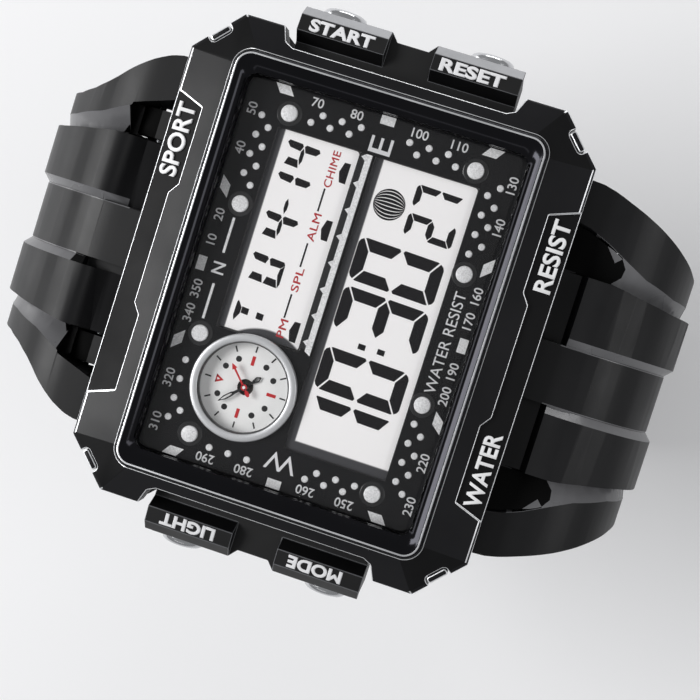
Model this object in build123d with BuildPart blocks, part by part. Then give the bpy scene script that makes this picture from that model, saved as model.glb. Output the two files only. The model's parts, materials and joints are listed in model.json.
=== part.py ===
"""Square digital wristwatch with a small analogue gauge, standing face up on its open strap.

X runs to 3 o'clock, Y to 12 o'clock and Z out of the dial. The origin lies on the table, under
the centre of the dial. All lengths are in millimetres.
"""

import os
from math import cos, hypot, radians, sin, sqrt

from build123d import *

os.makedirs("parts", exist_ok=True)

# Strap loop, seen from the side
wrist_height = 47.0         # table to the outer face of the case back
shoulder_start = 1.15       # spring bar's axis to the start of the strap's outer bend
shoulder_r = 9.6            # outer bend beside the case
shoulder_inner_r = 7.0      # the same bend on the wrist side
band_thickness = 2.8
band_half_width = 10.0      # at the buckle and over the whole tail
strap_root_half_width = 17.9
strap_neck_half_width = 12.0
# Strap's edge as pairs: share of the shoulder's run, share of the narrowing down to the neck
taper_shares = [(0, 0.14), (0.3, 0.54), (0.75, 0.92)]
side_raise = 0.8            # the two long blocks stand above the thin band by this much
centre_raise = 0.4          # and so does the band along the middle
block_inner_x = 3.4
block_outer_x = 9.2
block_root_bevel = 1.3      # the blocks' ends lean back from the case
centre_band_x = 3.0
root_slot_width = 0.7       # short slot on each side of the centre band
root_slot_length = 5.0
root_slot_depth = 2.0
trough_root_x = 12.7        # trough beside each block: its far wall at the case
trough_neck_x = 10.7        # and at the neck
trough_depth = 1.5          # below the thin band
block_drop = 18.0           # the blocks end this far under the case back
block_end_slope = 4.0
tail_bend_r = 15.0          # outer bend between the long half and its tail
tail_reach = 26.0           # the tail's tip, past the centre
tail_tip_r = 7.0
buckle_bend_r = 13.0        # outer bend of the short half
buckle_height = 16.0        # table to the short half's outer face at the buckle
buckle_reach = 2.0          # the buckle's axle, short of the centre by this much

# Holes in the tail
hole_count = 10
hole_pitch = 6.0
hole_r = 1.3
first_hole = 17.0           # from the tip

# Case, seen from the front
case_half_x = 23.0
case_half_y = 19.3
corner_run_x = 4.2
corner_run_y = 4.0
body_inset = 0.6            # the body stands this far inside the bezel's edge
side_wall = 2.4             # wall that the pushers pass through
end_wall = 4.8              # wall beside the strap
cavity_corner_r = 1.5
guard_pocket_depth = 2.0    # flat on the body that carries a button guard
guard_pocket_half = 11.2
edge_break = 0.25           # bright narrow bevel round the bezel

# Case, from the back up
back_plate = 1.6
body_height = 9.2
ledge_height = 1.5          # bezel's foot to the ledge under the crystal
bezel_edge_height = 2.4     # bezel's foot to its outer edge
bezel_rise = 0.9            # outer edge to the foot of the polished frame
ridge_rise = 0.35           # the polished frame's ridge above that

# Bezel
cutout_half = 10.1          # straight stretch of the cut-out round each button guard
cutout_slant_y = 10.9
cutout_mouth_y = 11.5
cutout_depth = 1.9
cutout_slant_depth = 1.5
notch_width = 2.3
notch_depth = 0.9
notch_corner_r = 0.45
pad_gap = 0.15
panel_end = 3.85            # recessed panel's end, from the bezel's corner
panel_slant = 1.35          # the panel narrows inward by this much at each end
panel_reach = 2.6
panel_step_x = 6.3
panel_step_top_x = 5.3
panel_step = 0.75           # middle of the panel is narrower by this much
panel_recess = 0.35

# Polished frame and crystal
slope_width_x = 3.05        # bezel's edge to the polished frame
slope_width_y = 4.45
frame_corner_r = 1.7
ridge_inset = 0.25
frame_width_x = 1.9         # polished frame, from its foot to the glass
frame_width_y = 1.5
glass_corner_r = 1.0
frame_lip = 0.45            # the polished frame dips to this height over the crystal's flange
crystal_flange = 0.85       # the crystal's flange reaches this far under the frame
flange_thickness = 0.9
crystal_thickness = 1.6
crystal_bevel = 0.3
gasket_wall = 0.35
ledge_width = 0.5
fit_gap = 0.1               # clearance round parts that drop into place
seat_gap = 0.05

# Dial
mask_margin = 0.15          # the mask reaches under the polished frame by this much
mask_thickness = 0.4
glass_gap = 0.8             # mask to the crystal's underside
window_side_gap = 4.0       # mask's right edge to both windows
window_left_gap = 4.1       # mask's left edge to the lower window
window_top_gap = 3.8
window_low_gap = 3.7
window_divider_gap = 0.65   # divider's middle to each window
stud_r = 0.85
stud_height = 0.3
stud_edge_gap = 2.6         # mask's edge to the studs' centres
stud_outer_drop = 4.5       # mask's upper and lower edge to the outer studs
stud_inner_x = 6.3
divider_y = 0.85
divider_half_height = 0.35
divider_gauge_gap = 0.45
divider_end_gap = 0.2       # divider's right end to the window's edge
divider_plain_end = 0.62    # stretch with no teeth beside the gauge
divider_thickness = 0.3
tooth_height = 0.45
tooth_half_width = 0.35
tooth_count = 7

# Small analogue gauge
gauge_side_gap = 3.25       # ring to the mask's left edge
gauge_top_gap = 3.02        # ring to the mask's upper edge
gauge_low_gap = 0.47        # the ring reaches below the divider's middle by this much
gauge_ring_width = 0.77
gauge_ring_step = 0.35      # the ring's upper part overhangs its neck
gauge_ring_height = 0.65
gauge_ring_bevel = 0.25
gauge_dial_drop = 0.8       # mask's face to the gauge's dial
gauge_dial_thickness = 0.3
hand_thickness = 0.12
hand_gap = 0.13
hour_length_share = 0.49    # of the ring's inner radius
minute_length_share = 0.72
second_length_share = 0.82
second_tail_share = 0.3
hand_half_width = 0.33
second_half_width = 0.12
hub_wall = 0.2
arbor_r = 0.22
arbor_gap = 0.05
hour_turn = 132.0           # degrees clockwise from 12
minute_turn = 316.0
second_turn = 47.0
arbor_depth = 2.6
movement_step = 0.2         # movement's case is this much smaller than the ring's neck
movement_height = 3.1

# Module
holder_room_x = 2.0         # cavity's wall to the module holder, for the pushers' ends
holder_room_y = 0.3
holder_foot = 0.5           # clear height above the case back's inner face
holder_wall = 1.1
holder_web = 0.5
lcd_thickness = 1.1
lcd_edge = 0.9              # the glass reaches past its windows by this much
backlight_thickness = 0.5
layer_gap = 0.1
board_thickness = 0.8
board_gap = 1.35            # backlight to circuit board
strip_width = 1.0
strip_end_gap = 2.5         # contact strips' ends to the holder's inner wall
battery_r = 8.0
battery_thickness = 2.0
clip_width = 7.0
clip_thickness = 0.3
clip_overhang = 1.0
sounder_r = 7.5
sounder_thickness = 0.2

# Case back
screw_inset_x = 5.2         # from the back's sides
screw_inset_y = 2.5         # and from its ends
screw_r = 0.7
screw_head_r = 1.25
screw_head_height = 0.7
screw_slot = 0.3
screw_length = 5.0
seal_width = 0.8
seal_depth = 0.6
seal_inset = 0.35

# Pushers and their guards
pusher_y = 7.25
pusher_height = 6.0         # body's foot to the pushers' axis
pusher_travel = 0.9
stem_r = 1.0
running_gap = 0.05
stem_inset = 0.55           # stem's inner end past the inside of the wall
pusher_head_r = 2.15
pusher_head_length = 2.3
pusher_head_round = 0.6
head_gap = 0.25
guard_reach = 2.6           # guard's outer face past the bezel's edge
guard_seat = 0.05
guard_back_wall = 0.55
guard_drop = 3.2            # guard's foot below the pushers' axis
guard_shelf = 3.0           # guard's low shelf above the axis
guard_top = 4.6             # lettered face above the axis
guard_top_fall = 0.3
guard_face_inner = 0.1      # lettered face, from the bezel's edge outward
guard_face_outer = 1.65
guard_bevel_inner = 0.85
guard_block_near = 2.2
guard_block_far = 10.6
guard_block_taper = 0.7
bridge_reach = 1.2
spring_wire_r = 0.15
spring_r = 1.5
spring_turns = 3
spring_clear = 0.05
seal_ring_r = 0.27
seal_ring_gap = 0.03        # between the ring and the stem, and behind the ring
seal_ring_place = 1.15      # from the wall's inner face
stem_groove_share = 0.75    # stem's radius in the snap ring's groove
pusher_clip_r = 1.7
pusher_clip_thickness = 0.3
pusher_clip_gap = 0.15
contact_thickness = 0.2
contact_width = 1.4
contact_height = 3.0

# Strap hinges
bar_out = 2.75              # spring bar's axis past the body's wall
bar_height = 4.0            # and above the body's foot
knuckle_r = 2.4
root_height = 4.0           # axis to the strap's top face
bar_r = 0.9
bar_tip_r = 0.6
ear_inner_x = 9.9
ear_width = 2.8
ear_gap = 0.3
ear_r = 2.3

# Buckle and keepers
axle_r = 0.75
axle_tube_r = 1.6
axle_gap = 0.05
buckle_side_gap = 0.4
buckle_side = 2.2
buckle_inner_length = 8.4
buckle_front = 2.1
buckle_heel = 1.9
buckle_thickness = 2.6
buckle_edge_r = 0.6
tongue_width = 2.2
tongue_thickness = 1.0
tongue_slot_gap = 0.4
tongue_notch = 0.6
tongue_tip_short = 0.3
keeper_wall = 1.3
keeper_width = 5.0
keeper_room = 3.4           # space beside the band for the tail
keeper_gap = 0.3
fixed_keeper_place = 5.3    # centre, from the buckle's axle
free_keeper_place = 11.6
keeper_edge_r = 0.4

overrun = 1.0               # cuts run past their faces by this much

# Heights of the case, from the table
back_z = wrist_height
body_z = back_z + back_plate
bezel_z = body_z + body_height
ledge_z = bezel_z + ledge_height
edge_z = bezel_z + bezel_edge_height
slope_z = edge_z + bezel_rise
ridge_z = slope_z + ridge_rise
flange_z = ledge_z + flange_thickness
crystal_z = ledge_z + crystal_thickness
mask_z = ledge_z - glass_gap
mask_low_z = mask_z - mask_thickness

# Plan sizes worked out from those above
body_half_x = case_half_x - body_inset
body_half_y = case_half_y - body_inset
flat_x = case_half_x - guard_pocket_depth
cavity_half_x = flat_x - side_wall
cavity_half_y = body_half_y - end_wall
frame_half_x = case_half_x - slope_width_x
frame_half_y = case_half_y - slope_width_y
glass_half_x = frame_half_x - frame_width_x
glass_half_y = frame_half_y - frame_width_y
flange_half_x = glass_half_x + crystal_flange
flange_half_y = glass_half_y + crystal_flange
mask_half_x = glass_half_x + mask_margin
mask_half_y = glass_half_y + mask_margin

# Gauge and display windows
gauge_low_y = divider_y - gauge_low_gap
gauge_high_y = mask_half_y - gauge_top_gap
gauge_r = (gauge_high_y - gauge_low_y) / 2
gauge_x = gauge_side_gap + gauge_r - mask_half_x
gauge_y = gauge_low_y + gauge_r
gauge_inner_r = gauge_r - gauge_ring_width
gauge_neck_r = gauge_r - gauge_ring_step
movement_r = gauge_neck_r - movement_step
window_right = mask_half_x - window_side_gap
window_left_upper = gauge_x + gauge_neck_r
window_left_lower = window_left_gap - mask_half_x
window_top_upper = mask_half_y - window_top_gap
window_low_upper = divider_y + window_divider_gap
window_top_lower = divider_y - window_divider_gap
window_low_lower = window_low_gap - mask_half_y


def octagon(half_x, half_y, run_x=corner_run_x, run_y=corner_run_y):
    """Corner points of a rectangle with cut corners."""
    quarter = [(half_x, half_y - run_y), (half_x - run_x, half_y)]
    left = [(-x, y) for x, y in reversed(quarter)]
    below = [(-x, -y) for x, y in quarter]
    right = [(x, -y) for x, y in reversed(quarter)]
    return quarter + left + below + right


def rounded(half_x, half_y, radius):
    """A centred rectangle with round corners, drawn in the open sketch."""
    RectangleRounded(2 * half_x, 2 * half_y, radius)


def write(part, name):
    """Name a finished piece and save it."""
    part.label = name
    export_step(part, f"parts/{name}.step")


# Case body
bar_y = body_half_y + bar_out
bar_z = body_z + bar_height
ear_outer_x = ear_inner_x + ear_width
screw_x = flat_x - screw_inset_x
screw_y = body_half_y - screw_inset_y
screw_places = [(x, y) for x in (-screw_x, screw_x) for y in (-screw_y, screw_y)]
pusher_z = body_z + pusher_height
seal_half_x = cavity_half_x + seal_inset + seal_width
seal_half_y = cavity_half_y + seal_inset + seal_width

with BuildPart() as case_body:
    with BuildSketch(Plane.XY.offset(body_z)):
        Polygon(*octagon(body_half_x, body_half_y), align=None)
    extrude(amount=body_height)
    for side in (-1, 1):
        pocket = Plane(origin=(side * flat_x, 0, body_z), x_dir=(0, 1, 0), z_dir=(side, 0, 0))
        with BuildSketch(pocket):
            Rectangle(2 * guard_pocket_half, 2 * body_height + overrun)
        extrude(amount=guard_pocket_depth, mode=Mode.SUBTRACT)
        for x in (-ear_outer_x, ear_inner_x):
            with BuildSketch(Plane.YZ.offset(x)):
                with Locations((side * bar_y, bar_z)):
                    Circle(ear_r)
                with Locations((side * (bar_y - bar_out / 2 - ear_r / 2), bar_z)):
                    Rectangle(bar_out + ear_r, 2 * ear_r)
            extrude(amount=ear_width)
            with BuildSketch(Plane.YZ.offset(x)):
                with Locations((side * bar_y, bar_z)):
                    Circle(bar_tip_r + running_gap)
            extrude(amount=ear_width, mode=Mode.SUBTRACT)
    with BuildSketch(Plane.XY.offset(body_z)):
        rounded(cavity_half_x, cavity_half_y, cavity_corner_r)
    extrude(amount=body_height, mode=Mode.SUBTRACT)
    with BuildSketch(Plane.XY.offset(body_z)):
        rounded(seal_half_x, seal_half_y, cavity_corner_r + seal_inset + seal_width)
        RectangleRounded(2 * (seal_half_x - seal_width), 2 * (seal_half_y - seal_width),
                         cavity_corner_r + seal_inset, mode=Mode.SUBTRACT)
    extrude(amount=seal_depth, mode=Mode.SUBTRACT)
    with BuildSketch(Plane.XY.offset(body_z)):
        with Locations(*screw_places):
            Circle(screw_r)
    extrude(amount=screw_length, mode=Mode.SUBTRACT)
    for side in (-1, 1):
        for y in (-pusher_y, pusher_y):
            inside = Plane(origin=(side * cavity_half_x, y, pusher_z), x_dir=(0, 1, 0), z_dir=(side, 0, 0))
            with BuildSketch(inside):
                Circle(stem_r + running_gap)
            extrude(amount=side_wall + overrun, mode=Mode.SUBTRACT)
            with BuildSketch(inside.offset(seal_ring_place - seal_ring_r - running_gap)):
                Circle(stem_r + 2 * (seal_ring_r + seal_ring_gap))
            extrude(amount=2 * (seal_ring_r + running_gap), mode=Mode.SUBTRACT)
write(case_body.part, "case_body")

# Case back with its seal and screws
with BuildPart() as case_back:
    with BuildSketch(Plane.XY.offset(back_z)):
        Polygon(*octagon(flat_x, body_half_y), align=None)
    extrude(amount=back_plate)
    chamfer(case_back.faces().sort_by(Axis.Z)[0].edges(), back_plate / 3)
    with BuildSketch(Plane.XY.offset(back_z)):
        with Locations(*screw_places):
            Circle(screw_r + fit_gap)
    extrude(amount=back_plate, mode=Mode.SUBTRACT)
    with BuildSketch(Plane.XY.offset(back_z)):
        with Locations(*screw_places):
            Circle(screw_head_r + fit_gap)
    extrude(amount=screw_head_height, mode=Mode.SUBTRACT)
write(case_back.part, "case_back")

with BuildPart() as case_back_seal:
    with BuildSketch(Plane.XY.offset(body_z)):
        rounded(seal_half_x - seat_gap, seal_half_y - seat_gap,
                cavity_corner_r + seal_inset + seal_width - seat_gap)
        RectangleRounded(2 * (seal_half_x - seal_width + seat_gap), 2 * (seal_half_y - seal_width + seat_gap),
                         cavity_corner_r + seal_inset + seat_gap, mode=Mode.SUBTRACT)
    extrude(amount=seal_depth)
write(case_back_seal.part, "case_back_seal")

with BuildPart() as case_back_screws:
    with BuildSketch(Plane.XY.offset(back_z)):
        with Locations(*screw_places):
            Circle(screw_head_r)
    extrude(amount=screw_head_height)
    with BuildSketch(Plane.XY.offset(back_z)):
        with Locations(*screw_places):
            Circle(screw_r - seat_gap)
    extrude(amount=back_plate + screw_length - fit_gap)
    with BuildSketch(Plane.XY.offset(back_z)):
        with Locations(*screw_places):
            Rectangle(2 * screw_head_r, screw_slot)
            Rectangle(screw_slot, 2 * screw_head_r)
    extrude(amount=screw_head_height / 2, mode=Mode.SUBTRACT)
write(case_back_screws.part, "case_back_screws")

# Bezel: eight faceted slopes from the octagon up to the polished frame
edge_points = octagon(case_half_x, case_half_y)
bevel_points = octagon(case_half_x - edge_break, case_half_y - edge_break)
top_points = octagon(frame_half_x + seat_gap, frame_half_y + seat_gap, frame_corner_r, frame_corner_r)
corner_x = case_half_x - corner_run_x / 2
corner_y = case_half_y - corner_run_y / 2
slope_run = case_half_y - edge_break - frame_half_y - seat_gap
slope_length = hypot(slope_run, bezel_rise)
corner_slant = hypot(corner_run_x, corner_run_y)
corner_normal = (corner_run_y / corner_slant, corner_run_x / corner_slant)
panel_half_top = case_half_x - corner_run_x - panel_end
panel_half_low = panel_half_top - panel_slant


def corner_plane(side_x, side_y):
    """Level plane on the middle of one cut corner, with its Y axis facing outward."""
    return Plane(origin=(side_x * corner_x, side_y * corner_y, bezel_z),
                 x_dir=(side_y * corner_normal[1], -side_x * corner_normal[0], 0), z_dir=(0, 0, 1))


corners = [(x, y) for x in (-1, 1) for y in (-1, 1)]

with BuildPart() as bezel:
    with BuildSketch(Plane.XY.offset(bezel_z)):
        Polygon(*edge_points, align=None)
    extrude(amount=bezel_edge_height - edge_break)
    with BuildSketch(Plane.XY.offset(edge_z - edge_break)):
        Polygon(*edge_points, align=None)
    with BuildSketch(Plane.XY.offset(edge_z)):
        Polygon(*bevel_points, align=None)
    loft(ruled=True)
    with BuildSketch(Plane.XY.offset(edge_z)):
        Polygon(*bevel_points, align=None)
    with BuildSketch(Plane.XY.offset(slope_z)):
        Polygon(*top_points, align=None)
    loft(ruled=True)
    for side in (-1, 1):
        slope = Plane(origin=(0, side * (case_half_y - edge_break), edge_z), x_dir=(1, 0, 0),
                      z_dir=(0, side * bezel_rise / slope_length, slope_run / slope_length))
        inward = -side
        with BuildSketch(slope):
            Polygon((-panel_half_top, -inward * overrun), (-panel_half_low, inward * panel_reach),
                    (-panel_step_x, inward * panel_reach),
                    (-panel_step_top_x, inward * (panel_reach - panel_step)),
                    (panel_step_top_x, inward * (panel_reach - panel_step)),
                    (panel_step_x, inward * panel_reach), (panel_half_low, inward * panel_reach),
                    (panel_half_top, -inward * overrun), align=None)
        extrude(amount=-panel_recess, mode=Mode.SUBTRACT)
        with BuildSketch(Plane.XY.offset(bezel_z)):
            Polygon((side * (case_half_x - cutout_depth), -cutout_half),
                    (side * (case_half_x - cutout_slant_depth), -cutout_slant_y),
                    (side * case_half_x, -cutout_mouth_y),
                    (side * (case_half_x + overrun), -cutout_mouth_y),
                    (side * (case_half_x + overrun), cutout_mouth_y),
                    (side * case_half_x, cutout_mouth_y),
                    (side * (case_half_x - cutout_slant_depth), cutout_slant_y),
                    (side * (case_half_x - cutout_depth), cutout_half), align=None)
        extrude(amount=ridge_z - bezel_z, mode=Mode.SUBTRACT)
    for side_x, side_y in corners:
        with BuildSketch(corner_plane(side_x, side_y)):
            RectangleRounded(notch_width, 2 * notch_depth, notch_corner_r)
        extrude(amount=ridge_z - bezel_z, mode=Mode.SUBTRACT)
    with BuildSketch(Plane.XY.offset(bezel_z)):
        rounded(flange_half_x - ledge_width, flange_half_y - ledge_width, cavity_corner_r)
    extrude(amount=ridge_z - bezel_z, mode=Mode.SUBTRACT)
    with BuildSketch(Plane.XY.offset(ledge_z)):
        rounded(flange_half_x + seat_gap + gasket_wall, flange_half_y + seat_gap + gasket_wall, frame_corner_r)
    extrude(amount=ridge_z - ledge_z, mode=Mode.SUBTRACT)
    with BuildSketch(Plane.XY.offset(flange_z + seat_gap)):
        rounded(frame_half_x + seat_gap, frame_half_y + seat_gap, frame_corner_r)
    extrude(amount=ridge_z - flange_z, mode=Mode.SUBTRACT)
write(bezel.part, "bezel")

with BuildPart() as corner_pads:
    for side_x, side_y in corners:
        with BuildSketch(corner_plane(side_x, side_y)):
            with Locations((0, -notch_depth / 2)):
                RectangleRounded(notch_width - 2 * pad_gap, notch_depth - 2 * pad_gap, notch_corner_r / 2)
        extrude(amount=edge_z - bezel_z)
write(corner_pads.part, "corner_pads")

# Polished frame round the glass
frame_low_z = flange_z + seat_gap
lip_z = flange_z + frame_lip

with BuildPart() as rim_frame:
    with BuildSketch(Plane.XY.offset(frame_low_z)):
        rounded(frame_half_x, frame_half_y, frame_corner_r)
    extrude(amount=slope_z - frame_low_z)
    with BuildSketch(Plane.XY.offset(slope_z)):
        rounded(frame_half_x, frame_half_y, frame_corner_r)
    with BuildSketch(Plane.XY.offset(ridge_z)):
        rounded(frame_half_x - ridge_inset, frame_half_y - ridge_inset, frame_corner_r - ridge_inset)
    loft(ruled=True)
    with BuildSketch(Plane.XY.offset(lip_z)):
        rounded(glass_half_x, glass_half_y, glass_corner_r)
    with BuildSketch(Plane.XY.offset(ridge_z)):
        rounded(frame_half_x - 2 * ridge_inset, frame_half_y - 2 * ridge_inset, frame_corner_r - ridge_inset)
    loft(ruled=True, mode=Mode.SUBTRACT)
    with BuildSketch(Plane.XY.offset(frame_low_z)):
        rounded(glass_half_x, glass_half_y, glass_corner_r)
    extrude(amount=lip_z - frame_low_z, mode=Mode.SUBTRACT)
write(rim_frame.part, "rim_frame")

with BuildPart() as crystal:
    with BuildSketch(Plane.XY.offset(ledge_z)):
        rounded(flange_half_x, flange_half_y, glass_corner_r + crystal_flange / 2)
    extrude(amount=flange_thickness)
    with BuildSketch(Plane.XY.offset(flange_z)):
        rounded(glass_half_x - fit_gap, glass_half_y - fit_gap, glass_corner_r - fit_gap)
    extrude(amount=crystal_thickness - flange_thickness)
    chamfer(crystal.faces().sort_by(Axis.Z)[-1].edges(), crystal_bevel)
write(crystal.part, "crystal")

with BuildPart() as crystal_seal:
    with BuildSketch(Plane.XY.offset(ledge_z)):
        rounded(flange_half_x + seat_gap + gasket_wall, flange_half_y + seat_gap + gasket_wall, frame_corner_r)
        RectangleRounded(2 * (flange_half_x + seat_gap), 2 * (flange_half_y + seat_gap),
                         glass_corner_r + crystal_flange / 2 + seat_gap, mode=Mode.SUBTRACT)
    extrude(amount=flange_thickness)
write(crystal_seal.part, "crystal_seal")

# Dial mask and what stands on it
stud_places = [(x * (mask_half_x - stud_edge_gap), y * (mask_half_y - stud_outer_drop)) for x, y in corners]
stud_places += [(x * stud_inner_x, y * (mask_half_y - stud_edge_gap)) for x, y in corners]
peg_r = stud_r / 2
divider_left_x = gauge_x + gauge_r + divider_gauge_gap
divider_right_x = window_right - divider_end_gap
tooth_pitch = (divider_right_x - divider_left_x - divider_plain_end) / tooth_count

with BuildPart() as dial_mask:
    with BuildSketch(Plane.XY.offset(mask_low_z)):
        rounded(mask_half_x, mask_half_y, glass_corner_r)
    extrude(amount=mask_thickness)
    with BuildSketch(Plane.XY.offset(mask_low_z)):
        Polygon((window_left_upper, window_low_upper), (window_right, window_low_upper),
                (window_right, window_top_upper), (window_left_upper, window_top_upper), align=None)
        Polygon((window_left_lower, window_low_lower), (window_right, window_low_lower),
                (window_right, window_top_lower), (window_left_lower, window_top_lower), align=None)
        with Locations((gauge_x, gauge_y)):
            Circle(gauge_neck_r + seat_gap)
        with Locations(*stud_places):
            Circle(peg_r + seat_gap)
    extrude(amount=mask_thickness, mode=Mode.SUBTRACT)
write(dial_mask.part, "dial_mask")

with BuildPart() as dial_studs:
    with BuildSketch(Plane.XY.offset(mask_z)):
        with Locations(*stud_places):
            Circle(stud_r)
    extrude(amount=stud_height)
    chamfer(dial_studs.faces().filter_by(Axis.Z).group_by(Axis.Z)[-1].edges(), stud_height / 2)
    with BuildSketch(Plane.XY.offset(mask_low_z)):
        with Locations(*stud_places):
            Circle(peg_r)
    extrude(amount=mask_thickness)
write(dial_studs.part, "dial_studs")

with BuildPart() as divider_bar:
    with BuildSketch(Plane.XY.offset(mask_z)):
        with Locations(((divider_left_x + divider_right_x) / 2, divider_y)):
            Rectangle(divider_right_x - divider_left_x, 2 * divider_half_height)
        for tooth in range(tooth_count):
            x = divider_right_x - tooth_pitch * (tooth + 1 / 2)
            Polygon((x - tooth_half_width, divider_y), (x + tooth_half_width, divider_y),
                    (x, divider_y + divider_half_height + tooth_height), align=None)
    extrude(amount=divider_thickness)
write(divider_bar.part, "divider_bar")

# Gauge
gauge_z = mask_z - gauge_dial_drop
gauge_plane = Plane(origin=(gauge_x, gauge_y, gauge_z), x_dir=(1, 0, 0), z_dir=(0, 0, 1))
hour_z = hand_gap
minute_z = hour_z + hand_thickness + hand_gap
second_z = minute_z + hand_thickness + hand_gap
second_hub_r = arbor_r + hub_wall
minute_pipe_r = arbor_r + arbor_gap + hub_wall
hour_pipe_r = minute_pipe_r + arbor_gap + hub_wall
gauge_bore_r = hour_pipe_r + arbor_gap
hour_length = hour_length_share * gauge_inner_r
minute_length = minute_length_share * gauge_inner_r
second_length = second_length_share * gauge_inner_r
second_tail = second_tail_share * gauge_inner_r

with BuildPart() as gauge_ring:
    profile = Plane(origin=(gauge_x, gauge_y, mask_z), x_dir=(1, 0, 0), z_dir=(0, -1, 0))
    with BuildSketch(profile):
        Polygon((gauge_inner_r, -gauge_dial_drop + fit_gap), (gauge_neck_r, -gauge_dial_drop + fit_gap),
                (gauge_neck_r, 0), (gauge_r, 0), (gauge_r, gauge_ring_height - gauge_ring_bevel),
                (gauge_r - gauge_ring_bevel, gauge_ring_height),
                (gauge_inner_r + gauge_ring_bevel, gauge_ring_height),
                (gauge_inner_r, gauge_ring_height - gauge_ring_bevel), align=None)
    revolve(axis=Axis((gauge_x, gauge_y, mask_z), (0, 0, 1)))
write(gauge_ring.part, "gauge_ring")

with BuildPart() as gauge_dial:
    with BuildSketch(gauge_plane.offset(-gauge_dial_thickness)):
        Circle(gauge_neck_r)
        Circle(gauge_bore_r, mode=Mode.SUBTRACT)
    extrude(amount=gauge_dial_thickness)
write(gauge_dial.part, "gauge_dial")

with BuildPart() as gauge_movement:
    with BuildSketch(gauge_plane.offset(-gauge_dial_thickness - movement_height)):
        Circle(movement_r)
    extrude(amount=movement_height)
    with BuildSketch(gauge_plane.offset(-gauge_dial_thickness - arbor_depth - fit_gap)):
        Circle(gauge_bore_r)
    extrude(amount=arbor_depth + fit_gap, mode=Mode.SUBTRACT)
write(gauge_movement.part, "gauge_movement")


def turned(angle):
    """The gauge's plane with its Y axis along a hand, an angle clockwise from 12."""
    return Plane(origin=gauge_plane.origin, x_dir=(cos(radians(angle)), -sin(radians(angle)), 0), z_dir=(0, 0, 1))


def skeleton_hand(plane, length, pipe_r, bore_r, low):
    """An open leaf hand with its pipe, seen on the plane of its angle."""
    with BuildPart() as hand:
        with BuildSketch(plane.offset(low)):
            Circle(pipe_r + hand_half_width)
            Polygon((-hand_half_width, 0), (hand_half_width, 0), (hand_half_width, 3 * length / 4),
                    (0, length), (-hand_half_width, 3 * length / 4), align=None)
            Polygon((-hand_half_width / 3, length / 2), (hand_half_width / 3, length / 2),
                    (hand_half_width / 3, 3 * length / 4), (-hand_half_width / 3, 3 * length / 4),
                    align=None, mode=Mode.SUBTRACT)
        extrude(amount=hand_thickness)
        with BuildSketch(plane.offset(-gauge_dial_thickness - arbor_depth)):
            Circle(pipe_r)
        extrude(amount=gauge_dial_thickness + arbor_depth + low)
        with BuildSketch(plane.offset(-gauge_dial_thickness - arbor_depth)):
            Circle(bore_r)
        extrude(amount=gauge_dial_thickness + arbor_depth + low + hand_thickness, mode=Mode.SUBTRACT)
    return hand.part


write(skeleton_hand(turned(hour_turn), hour_length, hour_pipe_r, minute_pipe_r + arbor_gap, hour_z), "hour_hand")
write(skeleton_hand(turned(minute_turn), minute_length, minute_pipe_r, arbor_r + arbor_gap, minute_z),
      "minute_hand")

with BuildPart() as second_hand:
    with BuildSketch(turned(second_turn).offset(second_z)):
        Circle(second_hub_r + second_half_width)
        Polygon((-second_half_width, -second_tail), (second_half_width, -second_tail),
                (second_half_width, 2 * second_length / 3), (3 * second_half_width, 2 * second_length / 3),
                (0, second_length), (-3 * second_half_width, 2 * second_length / 3),
                (-second_half_width, 2 * second_length / 3), align=None)
        with Locations((0, -second_tail)):
            Circle(2 * second_half_width)
    extrude(amount=hand_thickness)
    with BuildSketch(turned(second_turn).offset(-gauge_dial_thickness - arbor_depth)):
        Circle(arbor_r)
    extrude(amount=gauge_dial_thickness + arbor_depth + second_z)
write(second_hand.part, "second_hand")

# Display stack: glass and backlight are notched round the gauge
lcd_z = mask_low_z - lcd_thickness
backlight_z = lcd_z - layer_gap - backlight_thickness
board_z = backlight_z - board_gap - board_thickness
lcd_left = window_left_lower - lcd_edge
lcd_right = window_right + lcd_edge
lcd_top = window_top_upper + lcd_edge
lcd_low = window_low_lower - lcd_edge
notch_right = gauge_x + gauge_neck_r + fit_gap + seat_gap
notch_low = gauge_y - gauge_neck_r - fit_gap - seat_gap


def display_outline(low_y, high_y):
    """Plan of a display layer between two edges, notched round the gauge."""
    return [(lcd_left, low_y), (lcd_right, low_y), (lcd_right, high_y), (notch_right, high_y),
            (notch_right, notch_low), (lcd_left, notch_low)]


with BuildPart() as lcd_panel:
    with BuildSketch(Plane.XY.offset(lcd_z)):
        Polygon(*display_outline(lcd_low, lcd_top), align=None)
    extrude(amount=lcd_thickness - seat_gap)
write(lcd_panel.part, "lcd_panel")

strip_room = strip_width + layer_gap
with BuildPart() as backlight_panel:
    with BuildSketch(Plane.XY.offset(backlight_z)):
        Polygon(*display_outline(lcd_low + strip_room, lcd_top - strip_room), align=None)
    extrude(amount=backlight_thickness)
write(backlight_panel.part, "backlight_panel")

holder_half_x = cavity_half_x - holder_room_x
holder_half_y = cavity_half_y - holder_room_y
holder_z = body_z + holder_foot
pocket_half_x = holder_half_x - holder_wall
pocket_half_y = holder_half_y - holder_wall
web_z = backlight_z - seat_gap - holder_web
strip_end_x = pocket_half_x - strip_end_gap
strip_start_x = gauge_x + gauge_r + strip_width
strip_low_z = board_z + board_thickness

# Contact strips press on the glass's two long edges: middle and length of each
strips = [((strip_start_x + strip_end_x) / 2, lcd_top - strip_width / 2, strip_end_x - strip_start_x),
          (0, lcd_low + strip_width / 2, 2 * strip_end_x)]

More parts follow.
